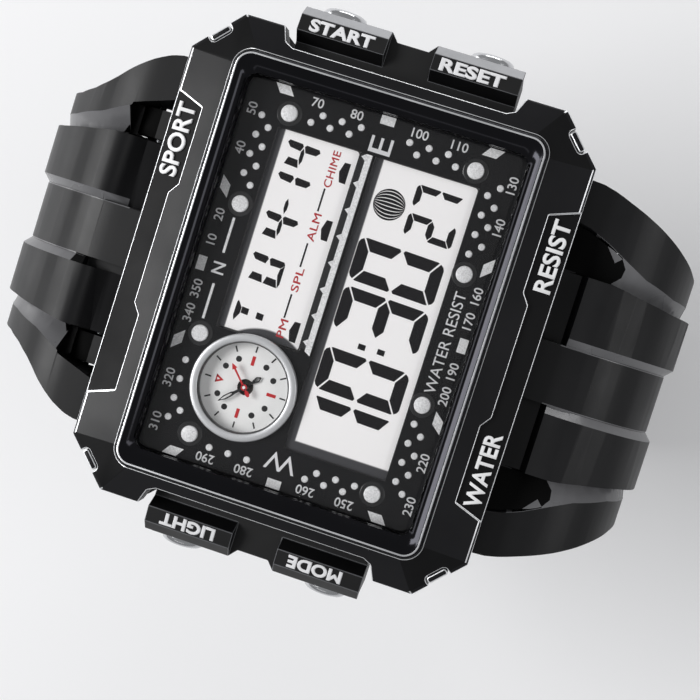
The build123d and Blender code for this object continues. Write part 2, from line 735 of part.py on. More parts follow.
with BuildPart() as module_holder:
    with BuildSketch(Plane.XY.offset(holder_z)):
        rounded(holder_half_x, holder_half_y, cavity_corner_r)
    extrude(amount=mask_low_z - seat_gap - holder_z)
    with BuildSketch(Plane.XY.offset(web_z + holder_web)):
        rounded(pocket_half_x, pocket_half_y, glass_corner_r)
    extrude(amount=mask_z - web_z, mode=Mode.SUBTRACT)
    with BuildSketch(Plane.XY.offset(holder_z)):
        rounded(pocket_half_x, pocket_half_y, glass_corner_r)
    extrude(amount=web_z - holder_z, mode=Mode.SUBTRACT)
    with BuildSketch(Plane.XY.offset(holder_z)):
        with Locations((gauge_x, gauge_y)):
            Circle(movement_r + fit_gap)
        for x, y, length in strips:
            with Locations((x, y)):
                Rectangle(length + 2 * fit_gap, strip_width + 2 * fit_gap)
    extrude(amount=mask_z - holder_z, mode=Mode.SUBTRACT)
write(module_holder.part, "module_holder")

with BuildPart() as circuit_board:
    with BuildSketch(Plane.XY.offset(board_z)):
        rounded(pocket_half_x - fit_gap, pocket_half_y - fit_gap, glass_corner_r)
        with Locations((gauge_x, gauge_y)):
            Circle(movement_r + fit_gap, mode=Mode.SUBTRACT)
    extrude(amount=board_thickness)
write(circuit_board.part, "circuit_board")

with BuildPart() as contact_strips:
    with BuildSketch(Plane.XY.offset(strip_low_z)):
        for x, y, length in strips:
            with Locations((x, y)):
                Rectangle(length, strip_width)
    extrude(amount=lcd_z - strip_low_z)
write(contact_strips.part, "contact_strips")

battery_z = board_z - layer_gap - battery_thickness

with BuildPart() as battery_cell:
    with BuildSketch(Plane.XY.offset(battery_z)):
        Circle(battery_r)
    extrude(amount=battery_thickness)
    fillet(battery_cell.edges().filter_by(GeomType.CIRCLE).sort_by(Axis.Z)[0], battery_thickness / 5)
write(battery_cell.part, "battery_cell")

clip_half = battery_r + clip_overhang
clip_z = battery_z - layer_gap - clip_thickness

with BuildPart() as battery_clip:
    with BuildSketch(Plane.XY.offset(clip_z)):
        Rectangle(clip_width, 2 * clip_half)
    extrude(amount=clip_thickness)
    for side in (-1, 1):
        with BuildSketch(Plane.XY.offset(clip_z)):
            with Locations((0, side * (clip_half - clip_thickness / 2))):
                Rectangle(clip_width, clip_thickness)
        extrude(amount=board_z - clip_z)
write(battery_clip.part, "battery_clip")

with BuildPart() as sounder_disc:
    with BuildSketch(Plane.XY.offset(body_z)):
        Circle(sounder_r)
    extrude(amount=sounder_thickness)
write(sounder_disc.part, "sounder_disc")

# Pushers: stem, head, snap ring, return spring, seals and contacts
stem_end_x = cavity_half_x - stem_inset
clip_x = cavity_half_x - pusher_clip_gap - pusher_clip_thickness
guard_x = flat_x + guard_seat
guard_out_x = case_half_x + guard_reach
spring_seat_x = guard_x + guard_back_wall
head_base_x = guard_out_x + pusher_travel - pusher_head_length
groove_r = stem_groove_share * stem_r
spring_sides = 6


def pusher_plane(side, y, x):
    """Plane across a pusher's axis, facing out of the case."""
    return Plane(origin=(side * x, y, pusher_z), x_dir=(0, 1, 0), z_dir=(side, 0, 0))


pusher_places = {"start": (1, pusher_y), "reset": (1, -pusher_y), "light": (-1, pusher_y),
                 "mode": (-1, -pusher_y)}

for name, (side, y) in pusher_places.items():
    outermost = -1 if side > 0 else 0
    with BuildPart() as pusher:
        with BuildSketch(pusher_plane(side, y, stem_end_x)):
            Circle(stem_r)
        extrude(amount=head_base_x - stem_end_x)
        with BuildSketch(pusher_plane(side, y, clip_x)):
            Circle(stem_r)
            Circle(groove_r, mode=Mode.SUBTRACT)
        extrude(amount=pusher_clip_thickness, mode=Mode.SUBTRACT)
        with BuildSketch(pusher_plane(side, y, head_base_x)):
            Circle(pusher_head_r)
        extrude(amount=pusher_head_length)
        fillet(pusher.edges().filter_by(GeomType.CIRCLE).group_by(Axis.X)[outermost], pusher_head_round)
    write(pusher.part, f"pusher_{name}")

    with BuildPart() as pusher_clip:
        with BuildSketch(pusher_plane(side, y, clip_x)):
            Circle(pusher_clip_r)
            Circle(groove_r, mode=Mode.SUBTRACT)
            with Locations((0, -pusher_clip_r)):
                Rectangle(stem_r, 2 * pusher_clip_r, mode=Mode.SUBTRACT)
        extrude(amount=pusher_clip_thickness)
    write(pusher_clip.part, f"pusher_clip_{name}")

    spring_length = head_base_x - spring_seat_x - 2 * (spring_wire_r + spring_clear)
    with BuildPart() as pusher_spring:
        start = pusher_plane(side, y, spring_seat_x + spring_wire_r + spring_clear)
        with BuildLine() as coil:
            Helix(pitch=spring_length / spring_turns, height=spring_length, radius=spring_r,
                  center=start.origin, direction=start.z_dir)
        with BuildSketch(Plane(origin=coil.line @ 0, z_dir=coil.line % 0)):
            RegularPolygon(spring_wire_r, spring_sides)
        sweep(path=coil.line, is_frenet=True)
    write(pusher_spring.part, f"pusher_spring_{name}")

with BuildPart() as pusher_seals:
    for side, y in pusher_places.values():
        ring_axis = pusher_plane(side, y, cavity_half_x + seal_ring_place)
        across = Plane(origin=ring_axis.origin, x_dir=(0, 1, 0), z_dir=(0, 0, 1))
        with BuildSketch(across):
            with Locations((stem_r + seal_ring_gap + seal_ring_r, 0)):
                Circle(seal_ring_r)
        revolve(axis=Axis(ring_axis.origin, (1, 0, 0)))
write(pusher_seals.part, "pusher_seals")

contact_x = holder_half_x + seat_gap
contact_low_z = pusher_z - contact_height / 2

with BuildPart() as pusher_contacts:
    for side, y in pusher_places.values():
        with BuildSketch(pusher_plane(side, y, contact_x)):
            Rectangle(contact_width, contact_height)
        extrude(amount=contact_thickness)
write(pusher_contacts.part, "pusher_contacts")

# Button guards
guard_low_z = pusher_z - guard_drop
shelf_z = pusher_z + guard_shelf
guard_top_z = pusher_z + guard_top
bridge_x = case_half_x + bridge_reach
face_in_x = case_half_x + guard_face_inner
face_out_x = case_half_x + guard_face_outer
block_length = guard_block_far - guard_block_near
guard_room_r = pusher_head_r + head_gap

with BuildPart() as button_guard_right:
    with BuildSketch(Plane.XY.offset(guard_low_z)):
        Polygon((guard_x, -guard_block_far), (guard_out_x - guard_block_taper, -guard_block_far),
                (guard_out_x, -guard_block_far + guard_block_taper), (guard_out_x, -guard_block_near),
                (bridge_x, -guard_block_near + guard_block_taper),
                (bridge_x, guard_block_near - guard_block_taper), (guard_out_x, guard_block_near),
                (guard_out_x, guard_block_far - guard_block_taper),
                (guard_out_x - guard_block_taper, guard_block_far), (guard_x, guard_block_far), align=None)
    extrude(amount=shelf_z - guard_low_z)
    for near in (-guard_block_far, guard_block_near):
        with BuildSketch(Plane.XZ.offset(-near - block_length)):
            Polygon((face_in_x - guard_bevel_inner, shelf_z), (face_in_x, guard_top_z),
                    (face_out_x, guard_top_z - guard_top_fall), (guard_out_x, shelf_z), align=None)
        extrude(amount=block_length)
    for y in (-pusher_y, pusher_y):
        with BuildSketch(pusher_plane(1, y, spring_seat_x)):
            Circle(guard_room_r)
        extrude(amount=guard_out_x - spring_seat_x + overrun, mode=Mode.SUBTRACT)
        with BuildSketch(pusher_plane(1, y, guard_x - overrun)):
            Circle(stem_r + head_gap)
        extrude(amount=guard_back_wall + 2 * overrun, mode=Mode.SUBTRACT)
write(button_guard_right.part, "button_guard_right")

with BuildPart() as button_guard_left:
    mirror(button_guard_right.part, about=Plane.YZ)
write(button_guard_left.part, "button_guard_left")

# Strap halves, each a band in side view trimmed to its widths
root_y = bar_y - knuckle_r
root_z = bar_z + root_height
shoulder_y = bar_y + shoulder_start
shoulder_z = root_z - shoulder_r
loop_half_y = shoulder_y + shoulder_r
inner_y = loop_half_y - band_thickness
inner_shoulder_y = inner_y - shoulder_inner_r
inner_shoulder_z = bar_z - knuckle_r - shoulder_inner_r
slot_reach_y = bar_y + ear_r + ear_gap
half_turn = sqrt(1 / 2)


def bend(centre_y, centre_z, radius, side_y, side_z, side):
    """Three points on a quarter bend, from its level end to its upright end."""
    return [(side * centre_y, centre_z + side_z * radius),
            (side * (centre_y + side_y * radius * half_turn), centre_z + side_z * radius * half_turn),
            (side * (centre_y + side_y * radius), centre_z)]


def band_outline(side, low_z, bend_r, end_y):
    """Side view of one strap half, from its root at the case round to its free end."""
    shoulder = bend(shoulder_y, shoulder_z, shoulder_r, 1, 1, side)
    foot = bend(loop_half_y - bend_r, low_z + bend_r, bend_r, 1, -1, side)
    foot_in = bend(loop_half_y - bend_r, low_z + bend_r, bend_r - band_thickness, 1, -1, side)
    shoulder_in = bend(inner_shoulder_y, inner_shoulder_z, shoulder_inner_r, 1, 1, side)
    knuckle = bend(bar_y, bar_z, knuckle_r, -1, -1, side)
    Line((side * root_y, root_z), shoulder[0])
    ThreePointArc(*shoulder)
    Line(shoulder[2], foot[2])
    ThreePointArc(*reversed(foot))
    Line(foot[0], (side * end_y, low_z))
    Line((side * end_y, low_z), (side * end_y, low_z + band_thickness))
    Line((side * end_y, low_z + band_thickness), foot_in[0])
    ThreePointArc(*foot_in)
    Line(foot_in[2], shoulder_in[2])
    ThreePointArc(*reversed(shoulder_in))
    Line(shoulder_in[0], knuckle[0])
    ThreePointArc(*knuckle)
    Line(knuckle[2], (side * root_y, root_z))


def layer_outline(side, low, high, start_y, start_slope, end_slope):
    """Side view of a layer along the strap's outer face, between two heights from it."""
    end_z = back_z - block_drop
    over = bend(shoulder_y, shoulder_z, shoulder_r + high, 1, 1, side)
    under = bend(shoulder_y, shoulder_z, shoulder_r + low, 1, 1, side)
    Line((side * (start_y + start_slope), root_z + high), over[0])
    ThreePointArc(*over)
    Line(over[2], (side * (loop_half_y + high), end_z + end_slope))
    Line((side * (loop_half_y + high), end_z + end_slope), (side * (loop_half_y + low), end_z))
    Line((side * (loop_half_y + low), end_z), under[2])
    ThreePointArc(*reversed(under))
    Line(under[0], (side * start_y, root_z + low))
    Line((side * start_y, root_z + low), (side * (start_y + start_slope), root_z + high))


neck_top_z = shoulder_z + shoulder_r / 2
rib_foot = band_thickness / 4
width_stations = [(root_y, strap_root_half_width)]
for run_share, narrowing_share in taper_shares:
    narrowing = narrowing_share * (strap_root_half_width - strap_neck_half_width)
    width_stations.append((shoulder_y + run_share * shoulder_r, strap_root_half_width - narrowing))
width_stations.append((loop_half_y + overrun, strap_neck_half_width))
trough_stations = [(root_y - overrun, trough_root_x), (shoulder_y, trough_root_x),
                   (loop_half_y + overrun, trough_neck_x)]


def trough(side, x_side):
    """Wedge that sinks the strap's face beside one block, deepest along the outer band."""
    with BuildPart() as wedge:
        for x, low in ((block_outer_x, side_raise), (trough_root_x, -trough_depth)):
            with BuildSketch(Plane.YZ.offset(x_side * x)):
                with BuildLine():
                    layer_outline(side, low, side_raise + overrun, root_y - overrun, 0, 0)
                make_face()
        loft(ruled=True)
        with BuildSketch(Plane.XY):
            Polygon((0, side * (root_y - overrun)), *[(x_side * x, side * y) for y, x in trough_stations],
                    (0, side * (loop_half_y + overrun)), align=None)
        extrude(amount=ridge_z, mode=Mode.INTERSECT)
    return wedge.part


def strap_half(side, low_z, bend_r, end_y, slot_top_z):
    """One strap half: a band with three ribs, trimmed to its widths, with its root at the case."""
    reach = loop_half_y + side_raise
    edge = [(side * y, x) for y, x in width_stations]
    straight_z = low_z + band_thickness
    near = ear_inner_x - ear_gap
    far = ear_outer_x + ear_gap
    with BuildPart() as half:
        with BuildSketch(Plane.YZ):
            with BuildLine():
                band_outline(side, low_z, bend_r, end_y)
            make_face()
        extrude(amount=strap_root_half_width + overrun, both=True)
        with BuildSketch(Plane.YZ):
            with BuildLine():
                layer_outline(side, -rib_foot, centre_raise, root_y, 0, block_end_slope)
            make_face()
        extrude(amount=centre_band_x, both=True)
        for x in (-block_outer_x, block_inner_x):
            with BuildSketch(Plane.YZ.offset(x)):
                with BuildLine():
                    layer_outline(side, -rib_foot, side_raise, root_y, block_root_bevel, block_end_slope)
                make_face()
            extrude(amount=block_outer_x - block_inner_x)
        for x_side in (-1, 1):
            add(trough(side, x_side), mode=Mode.SUBTRACT)
        with BuildSketch(Plane.XY.offset(-overrun)):
            Polygon(*[(x, y) for y, x in edge], *[(-x, y) for y, x in reversed(edge)],
                    (-strap_root_half_width, -side * reach), (strap_root_half_width, -side * reach), align=None)
        extrude(amount=edge_z, mode=Mode.INTERSECT)
        with BuildSketch(Plane.XZ.offset(-reach - overrun)):
            Polygon((-band_half_width, -overrun), (-band_half_width, straight_z),
                    (-strap_neck_half_width, shoulder_z), (-strap_neck_half_width - overrun, neck_top_z),
                    (-strap_root_half_width, neck_top_z), (-strap_root_half_width, edge_z),
                    (strap_root_half_width, edge_z), (strap_root_half_width, neck_top_z),
                    (strap_neck_half_width + overrun, neck_top_z), (strap_neck_half_width, shoulder_z),
                    (band_half_width, straight_z), (band_half_width, -overrun), align=None)
        extrude(amount=2 * (reach + overrun), mode=Mode.INTERSECT)
        for x_side in (-1, 1):
            with BuildSketch(Plane.XY.offset(inner_shoulder_z)):
                with Locations((x_side * (near + far) / 2, side * (root_y + slot_reach_y - overrun) / 2)):
                    Rectangle(far - near, slot_reach_y - root_y + overrun)
            extrude(amount=slot_top_z - inner_shoulder_z, mode=Mode.SUBTRACT)
            with BuildSketch(Plane.XY.offset(root_z + side_raise)):
                with Locations((x_side * (centre_band_x + root_slot_width / 2),
                                side * (root_y + root_slot_length / 2))):
                    Rectangle(root_slot_width, root_slot_length)
            extrude(amount=-root_slot_depth, mode=Mode.SUBTRACT)
        with BuildSketch(Plane.YZ):
            with Locations((side * bar_y, bar_z)):
                Circle(bar_r + running_gap)
        extrude(amount=strap_root_half_width, both=True, mode=Mode.SUBTRACT)
    return half.part


# Short half: carries the buckle's axle in a tube
axle_y = -buckle_reach
axle_z = buckle_height + band_thickness / 2
slot_half = tongue_width / 2 + tongue_slot_gap

with BuildPart() as strap_upper:
    add(strap_half(1, buckle_height, buckle_bend_r, axle_y, edge_z))
    with BuildSketch(Plane.YZ):
        with Locations((axle_y, axle_z)):
            Circle(axle_tube_r)
    extrude(amount=band_half_width, both=True)
    with BuildSketch(Plane.YZ):
        with Locations((axle_y, axle_z)):
            Circle(axle_r + axle_gap)
    extrude(amount=band_half_width + overrun, both=True, mode=Mode.SUBTRACT)
    with BuildSketch(Plane.YZ):
        with Locations((axle_y, axle_z)):
            Rectangle(4 * axle_tube_r, 4 * axle_tube_r)
    extrude(amount=slot_half, both=True, mode=Mode.SUBTRACT)
write(strap_upper.part, "strap_upper")

# Long half: its tail lies flat on the table and carries the adjusting holes; it covers the ears
ear_top_z = bar_z + ear_r
foot_start = tail_bend_r - loop_half_y
flat_length = tail_reach - foot_start
hole_bend_r = tail_bend_r - band_thickness / 2


def tail_plane(distance):
    """Plane on the tail's middle, a distance along it from the tip, square to the band."""
    if distance <= flat_length:
        return Plane(origin=(0, tail_reach - distance, band_thickness / 2), x_dir=(1, 0, 0), z_dir=(0, 0, 1))
    angle = (distance - flat_length) / hole_bend_r
    return Plane(origin=(0, foot_start - hole_bend_r * sin(angle), tail_bend_r - hole_bend_r * cos(angle)),
                 x_dir=(1, 0, 0), z_dir=(0, sin(angle), cos(angle)))


with BuildPart() as strap_lower:
    add(strap_half(-1, 0, tail_bend_r, -tail_reach, ear_top_z + ear_gap))
    tip_edges = strap_lower.edges().filter_by(Axis.Z).group_by(Axis.Y)[-1]
    fillet(tip_edges, tail_tip_r)
    for hole in range(hole_count):
        with BuildSketch(tail_plane(first_hole + hole * hole_pitch)):
            Circle(hole_r)
        extrude(amount=band_thickness, both=True, mode=Mode.SUBTRACT)
write(strap_lower.part, "strap_lower")

# Spring bars
for name, side in (("upper", 1), ("lower", -1)):
    with BuildPart() as spring_bar:
        with BuildSketch(Plane.YZ):
            with Locations((side * bar_y, bar_z)):
                Circle(bar_r)
        extrude(amount=ear_inner_x - ear_gap, both=True)
        with BuildSketch(Plane.YZ):
            with Locations((side * bar_y, bar_z)):
                Circle(bar_tip_r)
        extrude(amount=ear_outer_x - ear_gap, both=True)
    write(spring_bar.part, f"spring_bar_{name}")

# Buckle
buckle_half_x = band_half_width + buckle_side_gap
buckle_out_x = buckle_half_x + buckle_side
front_y = axle_y - buckle_inner_length
buckle_tip_y = front_y - buckle_front
heel_y = axle_y + buckle_heel

with BuildPart() as buckle_frame:
    with BuildSketch(Plane.XY.offset(axle_z - buckle_thickness / 2)):
        with Locations((0, (buckle_tip_y + heel_y) / 2)):
            RectangleRounded(2 * buckle_out_x, heel_y - buckle_tip_y, buckle_side * 3 / 4)
        with Locations((0, (front_y + heel_y + overrun) / 2)):
            Rectangle(2 * buckle_half_x, heel_y + overrun - front_y, mode=Mode.SUBTRACT)
    extrude(amount=buckle_thickness)
    front_edges = buckle_frame.edges().filter_by(Axis.X).group_by(Axis.Y)[0]
    fillet(front_edges, buckle_edge_r)
    with BuildSketch(Plane.YZ):
        with Locations((axle_y, axle_z)):
            Circle(axle_r + axle_gap)
    extrude(amount=buckle_out_x, both=True, mode=Mode.SUBTRACT)
    with BuildSketch(Plane.XY.offset(axle_z - buckle_thickness / 2)):
        with Locations((0, buckle_tip_y)):
            Rectangle(2 * slot_half, 3 * buckle_front)
    extrude(amount=tongue_notch, mode=Mode.SUBTRACT)
write(buckle_frame.part, "buckle_frame")

with BuildPart() as buckle_bar:
    with BuildSketch(Plane.YZ):
        with Locations((axle_y, axle_z)):
            Circle(axle_r)
    extrude(amount=buckle_out_x - axle_gap, both=True)
write(buckle_bar.part, "buckle_bar")

tongue_top_z = axle_z - buckle_thickness / 2 + tongue_notch - axle_gap
tongue_tip_y = buckle_tip_y + tongue_tip_short

with BuildPart() as buckle_tongue:
    with BuildSketch(Plane.YZ):
        with Locations((axle_y, axle_z)):
            Circle(axle_tube_r - axle_gap)
        Polygon((axle_y, axle_z + axle_r + axle_gap), (front_y, tongue_top_z), (tongue_tip_y, tongue_top_z),
                (tongue_tip_y, tongue_top_z - tongue_thickness), (front_y, tongue_top_z - tongue_thickness),
                (axle_y, axle_z - axle_tube_r + axle_gap), align=None)
        with Locations((axle_y, axle_z)):
            Circle(axle_r + axle_gap, mode=Mode.SUBTRACT)
    extrude(amount=tongue_width / 2, both=True)
write(buckle_tongue.part, "buckle_tongue")


def keeper(centre_y, gap):
    """A rectangular loop round the band, with room on its outer side for the tail."""
    half_x = band_half_width + gap
    low_z = buckle_height - keeper_room
    high_z = buckle_height + band_thickness + gap
    with BuildPart() as loop:
        with BuildSketch(Plane.XZ.offset(-centre_y - keeper_width / 2)):
            with Locations((0, (low_z + high_z) / 2)):
                RectangleRounded(2 * (half_x + keeper_wall), high_z - low_z + 2 * keeper_wall, keeper_wall)
                Rectangle(2 * half_x, high_z - low_z, mode=Mode.SUBTRACT)
        extrude(amount=keeper_width)
    return loop.part


write(keeper(axle_y + fixed_keeper_place, 0), "keeper_fixed")
write(keeper(axle_y + free_keeper_place, keeper_gap), "keeper_free")
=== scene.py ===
"""Digital wristwatch with a small analogue gauge, dressed round its construction frame.

X runs to 3 o'clock, Y to 12 o'clock and Z out of the dial. All lengths are in metres, and the
watch stands face up on its open strap, as its frame does.
"""

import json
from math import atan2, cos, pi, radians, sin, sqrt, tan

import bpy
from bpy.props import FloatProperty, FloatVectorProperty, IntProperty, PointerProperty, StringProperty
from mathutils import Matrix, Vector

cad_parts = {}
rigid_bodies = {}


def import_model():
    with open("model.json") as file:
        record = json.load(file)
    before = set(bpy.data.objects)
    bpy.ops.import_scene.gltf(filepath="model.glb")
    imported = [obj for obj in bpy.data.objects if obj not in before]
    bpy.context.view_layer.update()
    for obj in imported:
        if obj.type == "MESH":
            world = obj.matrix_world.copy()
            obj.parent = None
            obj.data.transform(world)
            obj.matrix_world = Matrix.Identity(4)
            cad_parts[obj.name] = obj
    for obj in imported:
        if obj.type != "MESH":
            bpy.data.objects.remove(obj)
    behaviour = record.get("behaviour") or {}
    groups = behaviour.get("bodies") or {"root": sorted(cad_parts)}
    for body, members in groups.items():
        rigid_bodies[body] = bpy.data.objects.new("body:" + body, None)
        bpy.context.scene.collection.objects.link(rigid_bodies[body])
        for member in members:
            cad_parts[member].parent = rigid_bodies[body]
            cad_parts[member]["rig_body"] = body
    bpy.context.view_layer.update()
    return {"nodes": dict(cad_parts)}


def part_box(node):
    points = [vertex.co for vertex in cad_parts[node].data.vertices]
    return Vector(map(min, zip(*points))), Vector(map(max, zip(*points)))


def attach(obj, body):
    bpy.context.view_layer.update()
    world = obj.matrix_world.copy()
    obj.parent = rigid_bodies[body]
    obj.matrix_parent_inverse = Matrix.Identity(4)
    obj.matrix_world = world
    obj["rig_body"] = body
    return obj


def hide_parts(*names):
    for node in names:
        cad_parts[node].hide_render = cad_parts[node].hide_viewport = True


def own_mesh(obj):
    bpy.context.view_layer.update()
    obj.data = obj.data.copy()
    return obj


bl_info = {
    "name": "Digital Wristwatch",
    "version": (1, 0, 0),
    "blender": (4, 5, 0),
    "location": "3D View > Sidebar > Watch",
    "description": "Models and finishes a digital wristwatch round its construction frame",
    "category": "Add Mesh",
}

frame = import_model()

MM = 0.001


def linear(code):
    """An sRGB colour such as #2f3033 as linear RGBA."""
    channels = [int(code[i:i + 2], 16) / 255 for i in (1, 3, 5)]
    return tuple(c / 12.92 if c <= 0.04045 else ((c + 0.055) / 1.055) ** 2.4 for c in channels) + (1.0,)


# Sizes and colours that a user would change


def colour_setting(name, description, default):
    """A colour whose default is an sRGB hex value."""
    return FloatVectorProperty(name=name, description=description, subtype="COLOR", size=4, min=0, max=1,
                               default=linear(default))


def length_setting(name, description, default):
    """A length whose default is in millimetres."""
    return FloatProperty(name=name, description=description, default=default * MM, unit="LENGTH", precision=6)


def angle_setting(name, description, default):
    """An angle whose default is in degrees."""
    return FloatProperty(name=name, description=description, default=radians(default), subtype="ANGLE")


class CaseSettings(bpy.types.PropertyGroup):
    """Bezel, guards and case body"""
    resin: colour_setting("Resin", "Moulded bezel's colour", "#18181a")
    # The edge colour and width make a painted highlight: a thin bright line along the bezel's eased edges
    edge: colour_setting("Edges", "Polished edges of the bezel", "#eeeff1")
    edge_width: length_setting("Edge width", "Width of the polished edges", 0.12)
    guard_edge_width: length_setting("Guard edge", "Width of the button guards' eased edges", 0.1)
    word_height: length_setting("Word height", "Height of the raised capitals", 1.75)
    word_raise: length_setting("Word raise", "The raised words stand above their panel by this", 0.18)
    legend_height: length_setting("Legend height", "Height of the button legends", 1.27)


class RimSettings(bpy.types.PropertyGroup):
    """Polished frame round the glass"""
    plating: colour_setting("Plating", "Black plating's colour", "#27272a")
    crown: length_setting("Crown", "How far the band bulges above a straight slope", 0.16)
    corner_steps: IntProperty(name="Corner steps", description="Faces round each corner", default=10, min=2)


class DialSettings(bpy.types.PropertyGroup):
    """Printed mask"""
    mask: colour_setting("Mask", "Printed mask's colour", "#121214")
    silver: colour_setting("Silver", "Studs and printed blocks", "#e6e6e7")
    ink: colour_setting("Ink", "Printed numerals", "#d8d8da")
    print_thickness: length_setting("Print", "Thickness of the print on the mask", 0.03)
    numeral_height: length_setting("Numerals", "Height of the degree numerals", 0.88)
    dot_radius: length_setting("Dots", "Radius of the small dots", 0.33)
    dot_pitch: length_setting("Dot pitch", "Distance between dots in one row", 1.86)
    row_gap: length_setting("Row gap", "Distance between the two rows of dots", 0.92)


class DisplaySettings(bpy.types.PropertyGroup):
    """Liquid crystal display"""
    face: colour_setting("Face", "Display's background", "#fdfbfb")
    segment: colour_setting("Segments", "Dark segments", "#0e0c10")
    label: colour_setting("Labels", "Printed red labels", "#b3121e")
    time: StringProperty(name="Time", description="Hours and minutes shown", default="10:30")
    seconds: StringProperty(name="Seconds", description="Seconds shown", default="27")
    date: StringProperty(name="Date", description="Day and date shown", default="TU 4-14")
    time_height: length_setting("Time height", "Height of the large digits", 8.33)
    slant: angle_setting("Slant", "Lean of the large digits", 1.7)
    date_slant: angle_setting("Date slant", "Lean of the upper row", 3.7)


class GaugeSettings(bpy.types.PropertyGroup):
    """Small analogue gauge"""
    ring: colour_setting("Ring", "Ring's colour", "#d2d3d5")
    face: colour_setting("Face", "Gauge's face", "#f3f3f2")
    hour_hand: angle_setting("Hour hand", "Clockwise from 12", 132)
    minute_hand: angle_setting("Minute hand", "Clockwise from 12", 316)
    second_hand: angle_setting("Second hand", "Clockwise from 12", 47)


class StrapSettings(bpy.types.PropertyGroup):
    """Strap, buckle and keepers"""
    resin: colour_setting("Resin", "Strap's colour", "#0d0d0f")
    edge_width: length_setting("Edge", "Width of the strap's eased edges", 0.22)
    buckle_edge_width: length_setting("Buckle edge", "Width of the buckle's eased edges", 0.15)


class StageSettings(bpy.types.PropertyGroup):
    """Floor, lights and camera"""
    floor: colour_setting("Floor", "Floor's colour", "#e9e9ea")
    floor_glow: FloatProperty(name="Floor glow", description="Light that the floor gives itself", default=0.1)
    floor_size: FloatProperty(name="Floor size", description="Side of the floor", default=1.6, unit="LENGTH")
    lens: FloatProperty(name="Lens", description="Focal length in millimetres", default=72.0)
    sensor: FloatProperty(name="Sensor", description="Sensor's width in millimetres", default=36.0)
    camera_place: FloatVectorProperty(name="Camera", description="Camera's place", subtype="TRANSLATION",
                                      unit="LENGTH", precision=5,
                                      default=(3.73 * MM, -14.29 * MM, 187.18 * MM))
    camera_turn: FloatVectorProperty(name="Turn", description="Camera's rotation", subtype="EULER",
                                     default=(radians(-1.532), radians(5.756), radians(-72.312)))
    sky: FloatProperty(name="Sky", description="Strength of the light from all round", default=0.36)


# Materials


def add_node(tree, kind, inputs=(), **settings):
    """Add a shader node, set its properties, and give its sockets values or links."""
    node = tree.nodes.new(kind)
    for name, value in settings.items():
        setattr(node, name, value)
    for name, value in dict(inputs).items():
        if isinstance(value, bpy.types.NodeSocket):
            tree.links.new(value, node.inputs[name])
        else:
            node.inputs[name].default_value = value
    return node


def new_material(name, **sockets):
    """A material with one Principled shader, and its node tree and shader."""
    material = bpy.data.materials.new(name)
    material.use_nodes = True
    shader = material.node_tree.nodes["Principled BSDF"]
    for socket, value in sockets.items():
        shader.inputs[socket.replace("_", " ")].default_value = value
    return material, material.node_tree, shader


def scaled(colour, factor):
    """A linear colour made lighter or darker."""
    return tuple(min(1.0, channel * factor) for channel in colour[:3]) + (1.0,)


# A noise texture's values lie mostly between these two
CLOUD_LOW, CLOUD_HIGH = 0.3, 0.7


def drift(tree, shader, coordinate, colour, patch, spread, rough_low, rough_high):
    """Colour and roughness that wander slowly over patches of a given size."""
    cloud = add_node(tree, "ShaderNodeTexNoise", {"Vector": coordinate, "Scale": 1 / patch, "Detail": 4.0})
    ramp = add_node(tree, "ShaderNodeValToRGB", {"Fac": cloud.outputs["Fac"]})
    for stop, place, share in zip(ramp.color_ramp.elements, (CLOUD_LOW, CLOUD_HIGH), (-spread, spread)):
        stop.position = place
        stop.color = scaled(colour, 1 + share)
    tree.links.new(ramp.outputs["Color"], shader.inputs["Base Color"])
    rough = add_node(tree, "ShaderNodeMapRange", {"Value": cloud.outputs["Fac"], "From Min": CLOUD_LOW,
                                                  "From Max": CLOUD_HIGH, "To Min": rough_low,
                                                  "To Max": rough_high})
    tree.links.new(rough.outputs["Result"], shader.inputs["Roughness"])


def grain(tree, shader, coordinate, size, depth, strength):
    """A fine raised grain, by its width and depth."""
    speckle = add_node(tree, "ShaderNodeTexNoise", {"Vector": coordinate, "Scale": 1 / size, "Detail": 2.0})
    bump = add_node(tree, "ShaderNodeBump", {"Height": speckle.outputs["Fac"], "Distance": depth,
                                             "Strength": strength})
    tree.links.new(bump.outputs["Normal"], shader.inputs["Normal"])


def place_of(tree):
    """The socket with a point's place on the object."""
    return add_node(tree, "ShaderNodeTexCoord").outputs["Object"]


# In the finishes below, a colour is followed by the roughness and by the grain's width and depth. A brushed
# metal names the axis of its lines before these. A last number says how far the tone drifts.


def moulded(name, colour, roughness, grain_size, grain_depth, spread=0.08, **sockets):
    """Moulded plastic: a faint grain from the tool and slow drift in tone and gloss."""
    material, tree, shader = new_material(name, **sockets)
    where = place_of(tree)
    drift(tree, shader, where, colour, 6 * MM, spread, roughness - 0.05, roughness + 0.05)
    grain(tree, shader, where, grain_size, grain_depth, 0.6)
    return material


def metal(name, colour, roughness, grain_size=0.25 * MM, grain_depth=0.002 * MM, spread=0.06):
    """Bare or plated metal with a fine blasted grain."""
    material, tree, shader = new_material(name, Metallic=1.0)
    where = place_of(tree)
    drift(tree, shader, where, colour, 4 * MM, spread, roughness - 0.04, roughness + 0.05)
    grain(tree, shader, where, grain_size, grain_depth, 0.5)
    return material


def brushed(name, colour, roughness, along, line_width, depth):
    """Metal brushed along one axis: long fine lines, each with its own gloss."""
    material, tree, shader = new_material(name, Metallic=1.0)
    stretch = tuple(0.03 if axis == along else 1.0 for axis in "XYZ")
    mapping = add_node(tree, "ShaderNodeMapping", {"Vector": place_of(tree), "Scale": stretch})
    where = mapping.outputs["Vector"]
    drift(tree, shader, where, colour, line_width * 2, 0.12, roughness - 0.06, roughness + 0.08)
    grain(tree, shader, where, line_width, depth, 0.6)
    return material


def bezel_resin():
    """Moulded resin under satin paint: soft wide highlights over charcoal."""
    return moulded("satin_painted_resin", bpy.context.scene.watch_case.resin, 0.34, 0.16 * MM, 0.003 * MM,
                   Specular_IOR_Level=0.18)


